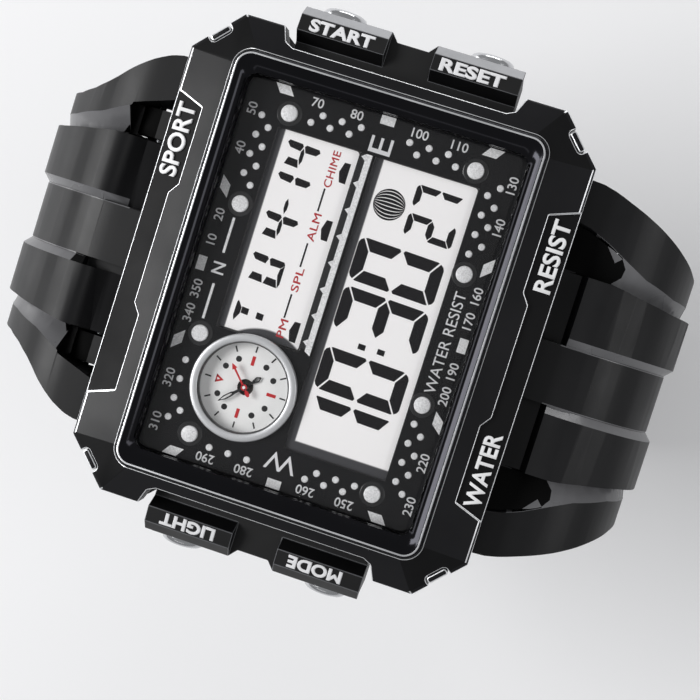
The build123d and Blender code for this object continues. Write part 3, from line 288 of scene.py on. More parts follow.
def guard_edge():
    """The guards' eased edges: the same matt resin painted lighter, a painted highlight along the edges."""
    return moulded("painted_highlight_guard_edge", linear("#56575a"), 0.42, 0.2 * MM, 0.002 * MM)


def guard_facet_reflection():
    """The right guards' outer facets in light satin grey: a painted reflection of the light from the right.
    """
    return moulded("painted_reflection_guard_facet", linear("#a4a5a8"), 0.4, 0.2 * MM, 0.003 * MM, 0.14)


def panel_resin():
    """The recessed panels, left unpainted: darker and duller than the facets round them."""
    return moulded("unpainted_panel_resin", linear("#101011"), 0.5, 0.16 * MM, 0.004 * MM,
                   Specular_IOR_Level=0.13)


def bezel_edge_highlight():
    """The bezel's eased edges in near-white metal: a painted highlight, a thin light line along each edge."""
    return moulded("painted_highlight_edge", bpy.context.scene.watch_case.edge, 0.34, 0.2 * MM, 0.001 * MM,
                   Metallic=0.8)


def case_resin():
    """Glass-filled resin, matt black with a slight grey bloom."""
    return moulded("matt_black_resin", linear("#0c0c0d"), 0.48, 0.2 * MM, 0.006 * MM,
                   Specular_IOR_Level=0.35)


def rim_plating():
    """Polished black plating: mirror-like, only faintly uneven."""
    material, tree, shader = new_material("polished_black_plating", Metallic=1.0)
    drift(tree, shader, place_of(tree), bpy.context.scene.watch_rim.plating, 5 * MM, 0.05, 0.1, 0.15)
    return material


def rim_ridge_highlight():
    """The frame's ridge in near-white metal: a painted highlight, a thin white line all round."""
    return metal("painted_highlight_ridge", linear("#f4f5f7"), 0.3, spread=0.02)


# How much the glass mirrors seen square on, how much more from the side, and how late that begins
GLASS_FRONT, GLASS_SIDE, GLASS_RISE = 0.025, 0.7, 5.0


def clear_glass():
    """Flat mineral glass: see-through, with a weak reflection that grows at low angles."""
    material = bpy.data.materials.new("clear_mineral_glass")
    material.use_nodes = True
    tree = material.node_tree
    tree.nodes.remove(tree.nodes["Principled BSDF"])
    clear = add_node(tree, "ShaderNodeBsdfTransparent")
    gloss = add_node(tree, "ShaderNodeBsdfGlossy", {"Roughness": 0.03})
    slope = add_node(tree, "ShaderNodeLayerWeight", {"Blend": 0.5})
    steep = add_node(tree, "ShaderNodeMath", {0: slope.outputs["Facing"], 1: GLASS_RISE}, operation="POWER")
    mirror = add_node(tree, "ShaderNodeMath", {0: steep.outputs["Value"], 1: GLASS_SIDE, 2: GLASS_FRONT},
                      operation="MULTIPLY_ADD")
    both = add_node(tree, "ShaderNodeMixShader", {"Fac": mirror.outputs["Value"]})
    tree.links.new(clear.outputs["BSDF"], both.inputs[1])
    tree.links.new(gloss.outputs["BSDF"], both.inputs[2])
    tree.links.new(both.outputs["Shader"], tree.nodes["Material Output"].inputs["Surface"])
    return material


def seal_rubber():
    """Nitrile rubber seal: dull black, slightly dusty."""
    return moulded("nitrile_rubber", linear("#161617"), 0.72, 0.15 * MM, 0.004 * MM)


def mask_print():
    """Screen-printed black on acrylic, with a fine tooth that breaks up reflections."""
    return moulded("screen_printed_mask", bpy.context.scene.watch_dial.mask, 0.55, 0.12 * MM, 0.004 * MM,
                   0.16, Specular_IOR_Level=0.06)


def silver_ink():
    """Silver ink with coarse flakes, each with its own tone."""
    material, tree, shader = new_material("flake_silver_ink", Metallic=0.1, Roughness=0.45)
    where = place_of(tree)
    flakes = add_node(tree, "ShaderNodeTexVoronoi", {"Vector": where, "Scale": 1 / (0.11 * MM)})
    ramp = add_node(tree, "ShaderNodeValToRGB", {"Fac": flakes.outputs["Color"]})
    colour = bpy.context.scene.watch_dial.silver
    ramp.color_ramp.elements[0].color = scaled(colour, 0.78)
    ramp.color_ramp.elements[1].color = scaled(colour, 1.18)
    tree.links.new(ramp.outputs["Color"], shader.inputs["Base Color"])
    return material


def white_paint():
    """Filled white paint on raised letters, a little uneven."""
    return moulded("white_letter_paint", linear("#f2f2f3"), 0.42, 0.2 * MM, 0.004 * MM, 0.03)


def white_ink():
    """Thin white ink on the black mask, slightly grey where the black shows through."""
    return moulded("thin_white_ink", bpy.context.scene.watch_dial.ink, 0.5, 0.1 * MM, 0.002 * MM, 0.08)


def legend_paint():
    """Light grey paint on the button guards."""
    return moulded("grey_legend_paint", linear("#e4e4e6"), 0.45, 0.2 * MM, 0.004 * MM, 0.05)


# The painted shade on the display, in mm: where it begins and where it is full, measured down from the upper
# edge of the upper and the lower window, in from the lower window's left end, and out from the gauge's ring
UPPER_SHADE, LOWER_SHADE, LEFT_SHADE, RING_SHADE = (0.82, 0.66), (0.9, 0.74), (1.05, 0.85), (0.12, -0.12)
# How far the ring's painted shade is thrown to the right and down, and how far above the lower window it ends
RING_THROW, LOWER_SHADE_TOP = 0.75, 0.3


def display_face():
    """Reflective display under its polariser: pale, with shade painted in grey where the mask and the ring
    would shade it.

    The painted shade is laid as if the light falls in over the display's upper left, so it lies along the
    windows' upper and left edges and round the ring's right side.
    """
    settings = bpy.context.scene.watch_display
    material, tree, shader = new_material("reflective_display_painted_shade", Roughness=0.4, Specular_IOR_Level=0.2)
    where = place_of(tree)
    place = add_node(tree, "ShaderNodeSeparateXYZ", {"Vector": where})

    def shade_from(value, start, edges):
        """0 up to where the shade begins and 1 where it is full."""
        begins, full = [start + edge * MM for edge in edges]
        return add_node(tree, "ShaderNodeMapRange", {"Value": value, "From Min": begins, "From Max": full},
                        interpolation_type="SMOOTHSTEP").outputs["Result"]

    def both(operation, first, second):
        return add_node(tree, "ShaderNodeMath", {0: first, 1: second}, operation=operation).outputs["Value"]

    upper, lower = upper_window(), lower_window()
    along_upper = shade_from(place.outputs["Y"], upper[3], [-edge for edge in UPPER_SHADE])
    along_lower = shade_from(place.outputs["Y"], lower[3], [-edge for edge in LOWER_SHADE])
    below_bar = both("LESS_THAN", place.outputs["Y"], lower[3] + LOWER_SHADE_TOP * MM)
    left_end = shade_from(place.outputs["X"], lower[0], LEFT_SHADE)
    in_lower = both("MULTIPLY", both("MAXIMUM", along_lower, left_end), below_bar)
    x, y, outer = gauge_place()
    middle = (-x - RING_THROW * MM, -y + RING_THROW * MM, -top_of("lcd_panel"))
    away = add_node(tree, "ShaderNodeVectorMath", {0: where, 1: middle}, operation="ADD")
    radius = add_node(tree, "ShaderNodeVectorMath", {0: away.outputs["Vector"]}, operation="LENGTH")
    round_ring = shade_from(radius.outputs["Value"], outer, RING_SHADE)
    shade = both("MAXIMUM", both("MAXIMUM", along_upper, in_lower), round_ring)
    # Painted shade: a ramp from the display's own colour to the grey of its shade
    ramp = add_node(tree, "ShaderNodeValToRGB", {"Fac": shade})
    ramp.color_ramp.elements[0].color = tuple(settings.face)
    ramp.color_ramp.elements[1].color = linear("#414144")
    tree.links.new(ramp.outputs["Color"], shader.inputs["Base Color"])
    grain(tree, shader, where, 0.3 * MM, 0.001 * MM, 0.3)
    return material


def segment_dark():
    """Switched segments: dark violet-black, dead flat."""
    return moulded("switched_segment", bpy.context.scene.watch_display.segment, 0.55, 0.2 * MM, 0.001 * MM,
                   0.05, Specular_IOR_Level=0.1)


def red_ink():
    """Red label ink, slightly translucent over the pale display."""
    return moulded("red_label_ink", bpy.context.scene.watch_display.label, 0.45, 0.15 * MM, 0.001 * MM, 0.06)


def gauge_silver():
    """Turned and satin-blasted ring: pale silver with round tool marks."""
    material, tree, shader = new_material("turned_satin_silver", Metallic=0.6)
    middle = tuple(-middle_of("gauge_ring"))
    away = add_node(tree, "ShaderNodeVectorMath", {0: place_of(tree), 1: middle}, operation="ADD")
    radius = add_node(tree, "ShaderNodeVectorMath", {0: away.outputs["Vector"]}, operation="LENGTH")
    marks = add_node(tree, "ShaderNodeTexNoise", {"W": radius.outputs["Value"], "Scale": 1 / (0.12 * MM)},
                     noise_dimensions="1D")
    colour = bpy.context.scene.watch_gauge.ring
    ramp = add_node(tree, "ShaderNodeValToRGB", {"Fac": marks.outputs["Fac"]})
    ramp.color_ramp.elements[0].color = scaled(colour, 0.88)
    ramp.color_ramp.elements[1].color = scaled(colour, 1.1)
    tree.links.new(ramp.outputs["Color"], shader.inputs["Base Color"])
    bump = add_node(tree, "ShaderNodeBump", {"Height": marks.outputs["Fac"], "Distance": 0.004 * MM,
                                             "Strength": 0.5})
    tree.links.new(bump.outputs["Normal"], shader.inputs["Normal"])
    shader.inputs["Roughness"].default_value = 0.36
    return material


def gauge_paper():
    """Matt white dial lacquer."""
    return moulded("white_dial_lacquer", bpy.context.scene.watch_gauge.face, 0.55, 0.15 * MM, 0.002 * MM,
                   0.02)


def black_enamel():
    """Black enamel on the hands and ticks."""
    return moulded("black_enamel", linear("#141416"), 0.3, 0.1 * MM, 0.001 * MM)


def red_enamel():
    """Red enamel on the second hand."""
    return moulded("red_enamel", linear("#c3141f"), 0.32, 0.1 * MM, 0.001 * MM, 0.05)


def strap_resin():
    """Soft strap resin: matt black with a faint silky gloss."""
    return moulded("soft_strap_resin", bpy.context.scene.watch_strap.resin, 0.42, 0.14 * MM, 0.005 * MM, 0.1,
                   Specular_IOR_Level=0.32)


def strap_flank_highlight():
    """The ribs' slanted flanks in light grey satin: a painted highlight where the light would catch them."""
    return moulded("painted_highlight_strap_flank", linear("#68686a"), 0.3, 0.2 * MM, 0.002 * MM, 0.06)


def painted_slot_shade():
    """The case's ears and the strap's slots round them: near-black painted shade that keeps them dark."""
    return moulded("painted_shade_black_resin", linear("#050505"), 0.8, 0.2 * MM, 0.004 * MM, Specular_IOR_Level=0.1)


def polished_steel():
    """Polished stainless steel, with faint turning marks."""
    return metal("polished_steel", linear("#c9cacc"), 0.16)


def back_steel():
    """Brushed stainless back: long straight lines across the wrist."""
    return brushed("brushed_steel", linear("#a9aaad"), 0.3, "X", 0.12 * MM, 0.004 * MM)


def screw_steel():
    """Bright zinc-plated screws."""
    return metal("bright_screw_steel", linear("#b9babc"), 0.24)


def buckle_steel():
    """Buckle brushed across the strap."""
    return brushed("brushed_buckle_steel", linear("#a2a3a6"), 0.27, "X", 0.14 * MM, 0.004 * MM)


def spring_steel():
    """Drawn spring wire, slightly dark."""
    return metal("drawn_spring_steel", linear("#8f9093"), 0.28)


def cell_steel():
    """Nickel-plated battery can."""
    return metal("nickel_plated_cell", linear("#c3c2bd"), 0.22)


def sounder_brass():
    """Thin brass disc of the sounder."""
    return metal("rolled_brass", linear("#b08a3e"), 0.34)


def movement_metal():
    """Stamped nickel-silver cover of the small motor."""
    return metal("stamped_nickel_silver", linear("#9c9a94"), 0.4, 0.3 * MM, 0.004 * MM)


def board_green():
    """Circuit board under green solder mask."""
    return moulded("green_solder_mask", linear("#1f5a35"), 0.38, 0.5 * MM, 0.004 * MM, 0.14)


def strip_rubber():
    """Layered conductive rubber: thin dark and pale stripes across each strip."""
    material, tree, shader = new_material("layered_contact_rubber", Roughness=0.6)
    wave = add_node(tree, "ShaderNodeTexWave", {"Vector": place_of(tree), "Scale": 0.1 / (0.2 * MM)},
                    bands_direction="X")
    ramp = add_node(tree, "ShaderNodeValToRGB", {"Fac": wave.outputs["Fac"]})
    ramp.color_ramp.elements[0].color = linear("#2a2a2c")
    ramp.color_ramp.elements[1].color = linear("#c98fa0")
    tree.links.new(ramp.outputs["Color"], shader.inputs["Base Color"])
    return material


def holder_plastic():
    """Translucent white module frame."""
    return moulded("natural_white_plastic", linear("#d9d8d2"), 0.45, 0.3 * MM, 0.004 * MM, 0.04)


def light_panel():
    """Pale green electroluminescent sheet."""
    return moulded("electroluminescent_sheet", linear("#cfe3da"), 0.4, 0.3 * MM, 0.002 * MM, 0.03)


PUSHERS = ("start", "reset", "light", "mode")

# Each of these nodes keeps its own mesh and gets one finish
NODE_FINISHES = {
    clear_glass: ["crystal"],
    seal_rubber: ["crystal_seal", "case_back_seal", "pusher_seals"],
    mask_print: ["dial_mask"],
    display_face: ["lcd_panel"],
    gauge_paper: ["gauge_dial"],
    back_steel: ["case_back"],
    screw_steel: ["case_back_screws"],
    spring_steel: ["spring_bar_upper", "spring_bar_lower", "pusher_contacts", "battery_clip",
                   *(f"pusher_clip_{name}" for name in PUSHERS)],
    cell_steel: ["battery_cell"],
    sounder_brass: ["sounder_disc"],
    movement_metal: ["gauge_movement"],
    board_green: ["circuit_board"],
    strip_rubber: ["contact_strips"],
    holder_plastic: ["module_holder"],
    light_panel: ["backlight_panel"],
}

materials = {}


def finish(make):
    """The material that a function makes, made once."""
    if make not in materials:
        materials[make] = make()
    return materials[make]


# Modelling


def deselect():
    bpy.ops.object.select_all(action="DESELECT")


def pick(*objects):
    """Select these objects alone and make the first one active."""
    deselect()
    for item in objects:
        item.select_set(True)
    bpy.context.view_layer.objects.active = objects[0]


def join(objects, name):
    """One object from several."""
    pick(*objects)
    if len(objects) > 1:
        bpy.ops.object.join()
    whole = bpy.context.object
    whole.name = name
    return whole


def settle(item, at=(0, 0, 0), turn=(0, 0, 0)):
    """Turn and place an object, then put its place into its mesh."""
    item.rotation_euler = turn
    item.location = at
    pick(item)
    bpy.ops.object.transform_apply(location=True, rotation=True, scale=True)
    return item


def edit(item):
    """Open an object in edit mode with all of it selected."""
    pick(item)
    bpy.ops.object.mode_set(mode="EDIT")
    bpy.ops.mesh.select_all(action="SELECT")


def leave_edit():
    bpy.ops.object.mode_set(mode="OBJECT")


# Points nearer than this are one, in mm: on a new piece, and on a copy of a node's loose triangles. Faces
# that meet flatter than this many degrees become one.
DOUBLE_GAP, NODE_DOUBLE_GAP, FLAT_ANGLE = 0.0005, 0.001, 0.6


def tidy(item):
    """Merge doubled points and face everything outward."""
    edit(item)
    bpy.ops.mesh.remove_doubles(threshold=DOUBLE_GAP * MM)
    bpy.ops.mesh.normals_make_consistent(inside=False)
    leave_edit()
    return item


def apply_modifier(item, kind, **settings):
    """Add a modifier with its settings and apply it."""
    modifier = item.modifiers.new(kind.title(), kind)
    for name, value in settings.items():
        setattr(modifier, name, value)
    pick(item)
    bpy.ops.object.modifier_apply(modifier=modifier.name)


def smooth(item, angle=35):
    """Shade smooth, with creases sharper than an angle in degrees kept."""
    pick(item)
    bpy.ops.object.shade_smooth_by_angle(angle=radians(angle))


def wear(item, make, body, slot, *nodes):
    """Finish a piece: its material, the body it moves with, and the nodes it stands for; the slot is not
    used.
    """
    item.data.materials.clear()
    item.data.materials.append(finish(make))
    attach(item, body)
    if nodes:
        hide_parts(*nodes)


def paint(item, make, chosen):
    """Give the faces that a test chooses a further finish."""
    item.data.materials.append(finish(make))
    for face in item.data.polygons:
        if chosen(face):
            face.material_index = len(item.data.materials) - 1


def metres(points):
    """Points written in millimetres, in metres."""
    return [tuple(value * MM for value in point) for point in points]


def new_object(name, mesh):
    """An object with this mesh, selected alone."""
    item = bpy.data.objects.new(name, mesh)
    bpy.context.collection.objects.link(item)
    pick(item)
    return item


def plate(outline, low, thickness):
    """A flat plate from the points of its outline, by its underside's height."""
    mesh = bpy.data.meshes.new("plate")
    mesh.from_pydata([(x, y, low) for x, y in outline], [], [range(len(outline))])
    item = new_object("plate", mesh)
    edit(item)
    bpy.ops.mesh.extrude_region_move(TRANSFORM_OT_translate={"value": (0, 0, thickness)})
    bpy.ops.mesh.select_all(action="SELECT")
    bpy.ops.mesh.normals_make_consistent(inside=False)
    leave_edit()
    return item


def plates(outlines, low, thickness, name):
    """One object from flat plates, by their outlines in millimetres."""
    return join([plate(metres(outline), low, thickness) for outline in outlines], name)


def copies(item, places, name):
    """One object from copies of an item, each with its own mesh; the item itself goes."""
    whole = join([settle(new_object(name, item.data.copy()), (x, y, 0)) for x, y in places], name)
    discard(item)
    return whole


def discard(item):
    bpy.data.objects.remove(item)


def turned(profile, axis_place, steps, direction=(0, 0, 1)):
    """A turned shape from its profile, pairs of radius and height along the axis."""
    mesh = bpy.data.meshes.new("turned")
    mesh.from_pydata([(r, 0, h) for r, h in profile], [(i, i + 1) for i in range(len(profile) - 1)], [])
    item = new_object("turned", mesh)
    edit(item)
    bpy.ops.mesh.spin(steps=steps, angle=2 * pi, center=(0, 0, 0), axis=(0, 0, 1))
    leave_edit()
    tidy(item)
    return settle(item, axis_place, Vector(direction).to_track_quat("Z", "Y").to_euler())


def word(text, height, thickness, width=None, weight=0.0, spacing=1.0):
    """Capitals or numerals as a mesh: centred, face up, at an exact height and perhaps width.

    The weight is a small chamfer outside the letters, as a share of their height.
    """
    deselect()
    bpy.ops.object.text_add()
    letters = bpy.context.object
    letters.data.body = text
    letters.data.extrude = max(0.0, thickness / 2 / height - weight)
    letters.data.bevel_depth = weight
    letters.data.bevel_resolution = 0
    letters.data.space_character = spacing
    letters.data.resolution_u = 4
    bpy.ops.object.convert(target="MESH")
    tall = [corner[1] for corner in letters.bound_box]
    wide = [corner[0] for corner in letters.bound_box]
    grow = height / (max(tall) - min(tall))
    stretch = width / (max(wide) - min(wide)) if width else grow
    letters.scale = (stretch, grow, height)
    middle = ((max(wide) + min(wide)) / 2 * stretch, (max(tall) + min(tall)) / 2 * grow)
    settle(letters, (-middle[0], -middle[1], thickness / 2))
    return tidy(letters)


# Edges sharper than this many degrees are eased, in this many steps
EASED_ANGLE, EASED_STEPS = 30, 2


def dressed(node, name, make, edge, width, shape=None):
    """A merged copy of a node with its edges eased, which stands for that node.

    The edge is the finish of the eased edges, if they have their own, and a width of 0 leaves them
    sharp. The shape is a function that moves the copy's points first.
    """
    source = frame["nodes"][node]
    item = new_object(name, source.data.copy())
    edit(item)
    bpy.ops.mesh.customdata_custom_splitnormals_clear()
    bpy.ops.mesh.remove_doubles(threshold=NODE_DOUBLE_GAP * MM)
    bpy.ops.mesh.dissolve_limited(angle_limit=radians(FLAT_ANGLE))
    bpy.ops.mesh.select_all(action="DESELECT")
    leave_edit()
    if shape is not None:
        shape(item)
    item.data.materials.clear()
    item.data.materials.append(finish(make))
    settings = {"width": width, "segments": EASED_STEPS, "limit_method": "ANGLE",
                "angle_limit": radians(EASED_ANGLE), "use_clamp_overlap": True, "miter_outer": "MITER_ARC"}
    if edge is not None:
        item.data.materials.append(finish(edge))
        settings["material"] = 1
    if width:
        apply_modifier(item, "BEVEL", **settings)
    smooth(item, 40)
    apply_modifier(item, "WEIGHTED_NORMAL", keep_sharp=True)
    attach(item, source["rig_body"])
    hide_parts(node)
    return item


def ring_of(half_x, half_y, radius, z, steps):
    """A level loop of edges round a rectangle with round corners."""
    deselect()
    bpy.ops.mesh.primitive_plane_add(size=2)
    loop = bpy.context.object
    loop.scale = (half_x, half_y, 1)
    settle(loop, (0, 0, z))
    edit(loop)
    bpy.ops.mesh.bevel(offset=radius, segments=steps, affect="VERTICES")
    bpy.ops.mesh.select_all(action="SELECT")
    bpy.ops.mesh.delete(type="ONLY_FACE")
    leave_edit()
    return loop


def bridged(loops, name):
    """One skin through a list of loops, closed from the last back to the first."""
    for number, loop in enumerate(loops):
        group = loop.vertex_groups.new(name=f"loop_{number}")
        group.add(range(len(loop.data.vertices)), 1.0, "REPLACE")
    skin = join(loops, name)
    bpy.ops.object.mode_set(mode="EDIT")
    for number in range(len(loops)):
        bpy.ops.mesh.select_all(action="DESELECT")
        for one in (number, (number + 1) % len(loops)):
            skin.vertex_groups.active_index = skin.vertex_groups[f"loop_{one}"].index
            bpy.ops.object.vertex_group_select()
        bpy.ops.mesh.bridge_edge_loops()
    leave_edit()
    skin.vertex_groups.clear()
    return tidy(skin)


# Places taken from the frame


def top_of(node):
    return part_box(node)[1].z


def middle_of(node):
    low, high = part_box(node)
    return (low + high) / 2


# The display windows' edges in mm that no node gives, and how far they reach past the divider bar's end
UPPER_FOOT, UPPER_HEAD, LOWER_LEFT, LOWER_FOOT, LOWER_GAP, PAST_BAR = 1.62, 9.7, -14.1, -9.8, 0.3, 0.2


def upper_window():
    """Upper display window: left, right, lower and upper edge."""
    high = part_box("divider_bar")[1]
    return gauge_place()[0], high.x + PAST_BAR * MM, UPPER_FOOT * MM, UPPER_HEAD * MM


def lower_window():
    """Lower display window: left, right, lower and upper edge."""
    low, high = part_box("divider_bar")
    return LOWER_LEFT * MM, high.x + PAST_BAR * MM, LOWER_FOOT * MM, low.y - LOWER_GAP * MM


def gauge_place():
    """The gauge's middle and its ring's outer radius."""
    low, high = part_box("gauge_ring")
    return (low.x + high.x) / 2, (low.y + high.y) / 2, (high.x - low.x) / 2


# The operators, one for each piece or group of like pieces


class WATCH_OT_node_finishes(bpy.types.Operator):
    """Give each node that keeps its own mesh its finish"""
    bl_idname = "watch.node_finishes"
    bl_label = "Node finishes"

    def execute(self, context):
        for make, names in NODE_FINISHES.items():
            for name in names:
                mesh = frame["nodes"][name].data
                mesh.materials.clear()
                mesh.materials.append(finish(make))
        return {"FINISHED"}


# The case's ears in mm: past this along Y, and nearer the middle than this along X
EAR_Y, EAR_X = 21.2, 14
# The long panels: tilt of their slope, and in mm a point on the slope, how deep they are sunk, and how far
# off that a face may lie
PANEL_TILT = atan2(0.9, 4.15)
PANEL_SLOPE_Y, PANEL_SLOPE_Z, PANEL_DEPTH, PANEL_SLACK = 19.05, 60.2, 0.35, 0.12


class WATCH_OT_bezel(bpy.types.Operator):
    """Ease the edges of the bezel and its pads, painted as thin bright highlight lines, and those of the case
    body
    """
    bl_idname = "watch.bezel"
    bl_label = "Bezel"

    def execute(self, context):
        settings = context.scene.watch_case
        width = settings.edge_width
        bezel = dressed("bezel", "bezel_shell", bezel_resin, bezel_edge_highlight, width)
        paint(bezel, panel_resin, in_panel)
        dressed("corner_pads", "corner_pad_set", bezel_resin, bezel_edge_highlight, width)
        case = dressed("case_body", "case_shell", case_resin, None, settings.guard_edge_width)
        # The ears get painted shade: near black, as the shade in the strap's slots
        paint(case, painted_slot_shade, on_ear)
        return {"FINISHED"}


def in_panel(face):
    """Whether a bezel face is the floor of one of the long panels, sunk below the slope."""
    slope_z = PANEL_SLOPE_Z * MM + (PANEL_SLOPE_Y * MM - abs(face.center.y)) * tan(PANEL_TILT)
    tilted = abs(face.normal.y) > sin(PANEL_TILT) / 2 and face.normal.z > 0.9
    sunk = abs(face.center.z - slope_z + PANEL_DEPTH * MM) < PANEL_SLACK * MM
    return tilted and sunk and face.material_index == 0


def on_ear(face):
    """Whether a face of the case body belongs to the ears that carry the strap."""
    return abs(face.center.y) > EAR_Y * MM and abs(face.center.x) < EAR_X * MM


# Words on the bezel's long panels: text, middle along X and Y and width in mm, and share of the height
BEZEL_WORDS = [("SPORT", 10.2, 17.9, 6.9, 1.0), ("WATER", -10.1, -17.95, 7.0, 0.93),
               ("RESIST", 10.15, -17.95, 6.7, 0.93)]
# The words' middle along Z and how deep they reach into the panel, in mm, and their weight
WORD_Z, WORD_SINK, WORD_WEIGHT = 60.08, 0.1, 0.022


class WATCH_OT_bezel_words(bpy.types.Operator):
    """Raise the generic words on the bezel's panels"""
    bl_idname = "watch.bezel_words"
    bl_label = "Bezel words"

    def execute(self, context):
        settings = context.scene.watch_case
        thick = settings.word_raise + WORD_SINK * MM
        words = []
        for text, x, y, width, share in BEZEL_WORDS:
            letters = word(text, settings.word_height * share, thick, width * MM, WORD_WEIGHT)
            tilt = -PANEL_TILT if y > 0 else PANEL_TILT
            words.append(settle(letters, (x * MM, y * MM, WORD_Z * MM), (tilt, 0, 0)))
        whole = join(words, "bezel_words")
        smooth(whole, 50)
        wear(whole, white_paint, "case", "gauge_white")
        return {"FINISHED"}


# The low bridge between two guards, in mm: its reach along X in the rough piece and in the real one, how far
# off that a point may lie, and its half length
BRIDGE_ROUGH_X, BRIDGE_X, BRIDGE_SLACK, BRIDGE_Y = 24.2, 24.8, 0.05, 1.6


def push_out_bridge(item):
    """Bring the low bridge between the two guards out to where the real one reaches."""
    for point in item.data.vertices:
        off = abs(abs(point.co.x) - BRIDGE_ROUGH_X * MM)
        if abs(point.co.y) < BRIDGE_Y * MM and off < BRIDGE_SLACK * MM:
            point.co.x *= BRIDGE_X / BRIDGE_ROUGH_X


def on_facet(face):
    """Whether a face of the right guards is an outer facet, which looks up and to the right and gets the
    painted reflection.
    """
    return face.normal.x > 0.6 and face.normal.z > 0.4 and face.material_index == 0


class WATCH_OT_button_guards(bpy.types.Operator):
    """Ease the button guards' edges"""
    bl_idname = "watch.button_guards"
    bl_label = "Button guards"

    def execute(self, context):
        width = context.scene.watch_case.guard_edge_width
        for side in ("right", "left"):
            guard = dressed(f"button_guard_{side}", f"button_guard_{side}_shell", case_resin,
                            guard_edge, width, push_out_bridge)
            # Only the right guards get the painted reflection on their outer facets, since the light falls
            # from that side
            if side == "right":
                paint(guard, guard_facet_reflection, on_facet)
        return {"FINISHED"}


# Legends: text, side along X, middle along Y and width in mm
LEGENDS = [("START", 1, 6.45, 6.2), ("RESET", 1, -6.05, 6.2), ("LIGHT", -1, 6.5, 5.4),
           ("MODE", -1, -6.05, 5.3)]
# The guards' lettered faces: their tilt, and their middle along X and Z in mm
GUARD_TILT = atan2(0.3, 1.55)
GUARD_X, GUARD_Z = 23.87, 59.05
# The legends' thickness and how deep they reach into the guard, in mm, and their weight
LEGEND_THICKNESS, LEGEND_SINK, LEGEND_WEIGHT = 0.12, 0.04, 0.045


class WATCH_OT_legends(bpy.types.Operator):
    """Paint the legends on the button guards' faces"""
    bl_idname = "watch.legends"
    bl_label = "Legends"

    def execute(self, context):
        height = context.scene.watch_case.legend_height
        words = []
        for text, side, y, width in LEGENDS:
            letters = word(text, height, LEGEND_THICKNESS * MM, width * MM, LEGEND_WEIGHT)
            settle(letters, (0, 0, -LEGEND_SINK * MM))
            settle(letters, turn=(-GUARD_TILT, 0, 0))
            words.append(settle(letters, (side * GUARD_X * MM, y * MM, GUARD_Z * MM), (0, 0, -side * pi / 2)))
        wear(join(words, "button_legends"), legend_paint, "case", "gauge_white")
        return {"FINISHED"}


# The polished frame's outer side and ridge, in mm: inset from its outline, drop from its top, corner radius
RIM_SIDE = [(0, 0.35, 1.7), (0.12, 0.08, 1.6), (0.25, 0, 1.5), (0.4, 0.01, 1.35), (0.5, 0.05, 1.3)]
# Its inner edge in mm: inset along X and Y, place along Z and corner radius, and its wall's rise from below
RIM_INNER_X, RIM_INNER_Y, RIM_INNER_Z, RIM_INNER_R, RIM_WALL_RISE = 1.9, 1.5, 60.65, 1.0, 0.1
# Steps of the crowned band between them, and how far below the top the ridge's painted highlight reaches, in
# mm
RIM_BAND_STEPS, RIM_RIDGE = 6, 0.012


class WATCH_OT_rim(bpy.types.Operator):
    """Model the polished frame round the glass as a crowned band"""
    bl_idname = "watch.rim"
    bl_label = "Polished frame"

    def execute(self, context):
        settings = context.scene.watch_rim
        steps = settings.corner_steps
        low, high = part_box("rim_frame")
        side = [(high.x - inset * MM, high.y - inset * MM, radius * MM, high.z - drop * MM)
                for inset, drop, radius in RIM_SIDE]
        inner = (high.x - RIM_INNER_X * MM, high.y - RIM_INNER_Y * MM, RIM_INNER_R * MM, RIM_INNER_Z * MM)
        sizes = [(*side[0][:3], low.z), *side]
        for number in range(1, RIM_BAND_STEPS + 1):
            share = number / RIM_BAND_STEPS
            *across, z = [a + (b - a) * share for a, b in zip(side[-1], inner)]
            sizes.append((*across, z + settings.crown * sin(pi * share)))
        sizes.append((*inner[:3], low.z + RIM_WALL_RISE * MM))
        rim = bridged([ring_of(*size, steps) for size in sizes], "polished_rim")
        smooth(rim, 40)
        wear(rim, rim_plating, "case", "polished_black", "rim_frame")
        # The ridge's top faces get the painted highlight
        paint(rim, rim_ridge_highlight, lambda face: face.center.z > high.z - RIM_RIDGE * MM)
        return {"FINISHED"}


# A stud and the thin ring round its foot: radius and height above the mask, in mm
STUD = [(0, 0.3), (0.6952, 0.3), (0.7505, 0.28), (0.7821, 0.22), (0.79, 0.14), (0.79, -0.3), (0, -0.3)]
STUD_RING = [(0.79, 0.012), (1.12, 0.012), (1.12, 0.03), (1.18, 0), (1.18, -0.02), (0.79, -0.02),
             (0.79, 0.012)]
# The studs' places in mm: radius of the node's studs, step between the outer and inner ones along Y, and
# the inner ones' X
NODE_STUD_R, STUD_STEP_Y, STUD_INNER_X = 0.85, 1.9, 6.3


class WATCH_OT_studs(bpy.types.Operator):
    """Turn one flat-topped stud and set a copy at each of its eight places"""
    bl_idname = "watch.studs"
    bl_label = "Dial studs"

    def execute(self, context):
        face = top_of("dial_mask")
        studs = copies(turned(metres(STUD), (0, 0, face), 40), stud_places(), "turned_studs")
        smooth(studs, 50)
        wear(studs, silver_ink, "case", "stud_silver", "dial_studs")
        rings = copies(turned(metres(STUD_RING), (0, 0, face), 40), stud_places(), "stud_wells")
        smooth(rings)
        wear(rings, black_enamel, "case", "dial_black")
        return {"FINISHED"}


def stud_places():
    """Where the eight studs stand, from the extent of the node that holds them."""
    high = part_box("dial_studs")[1]
    outer_x, inner_y = high.x - NODE_STUD_R * MM, high.y - NODE_STUD_R * MM
    pairs = [(outer_x, inner_y - STUD_STEP_Y * MM), (STUD_INNER_X * MM, inner_y)]
    return [(side_x * x, side_y * y) for x, y in pairs for side_x in (-1, 1) for side_y in (-1, 1)]


# The silver bar in mm: left end, foot, head, slant of its left end, reach past the node's end, thickness
BAR_LEFT, BAR_FOOT, BAR_HEAD, BAR_SLANT, BAR_PAST, BAR_THICK = -5.2, 0.42, 0.98, 0.3, 0.12, 0.3
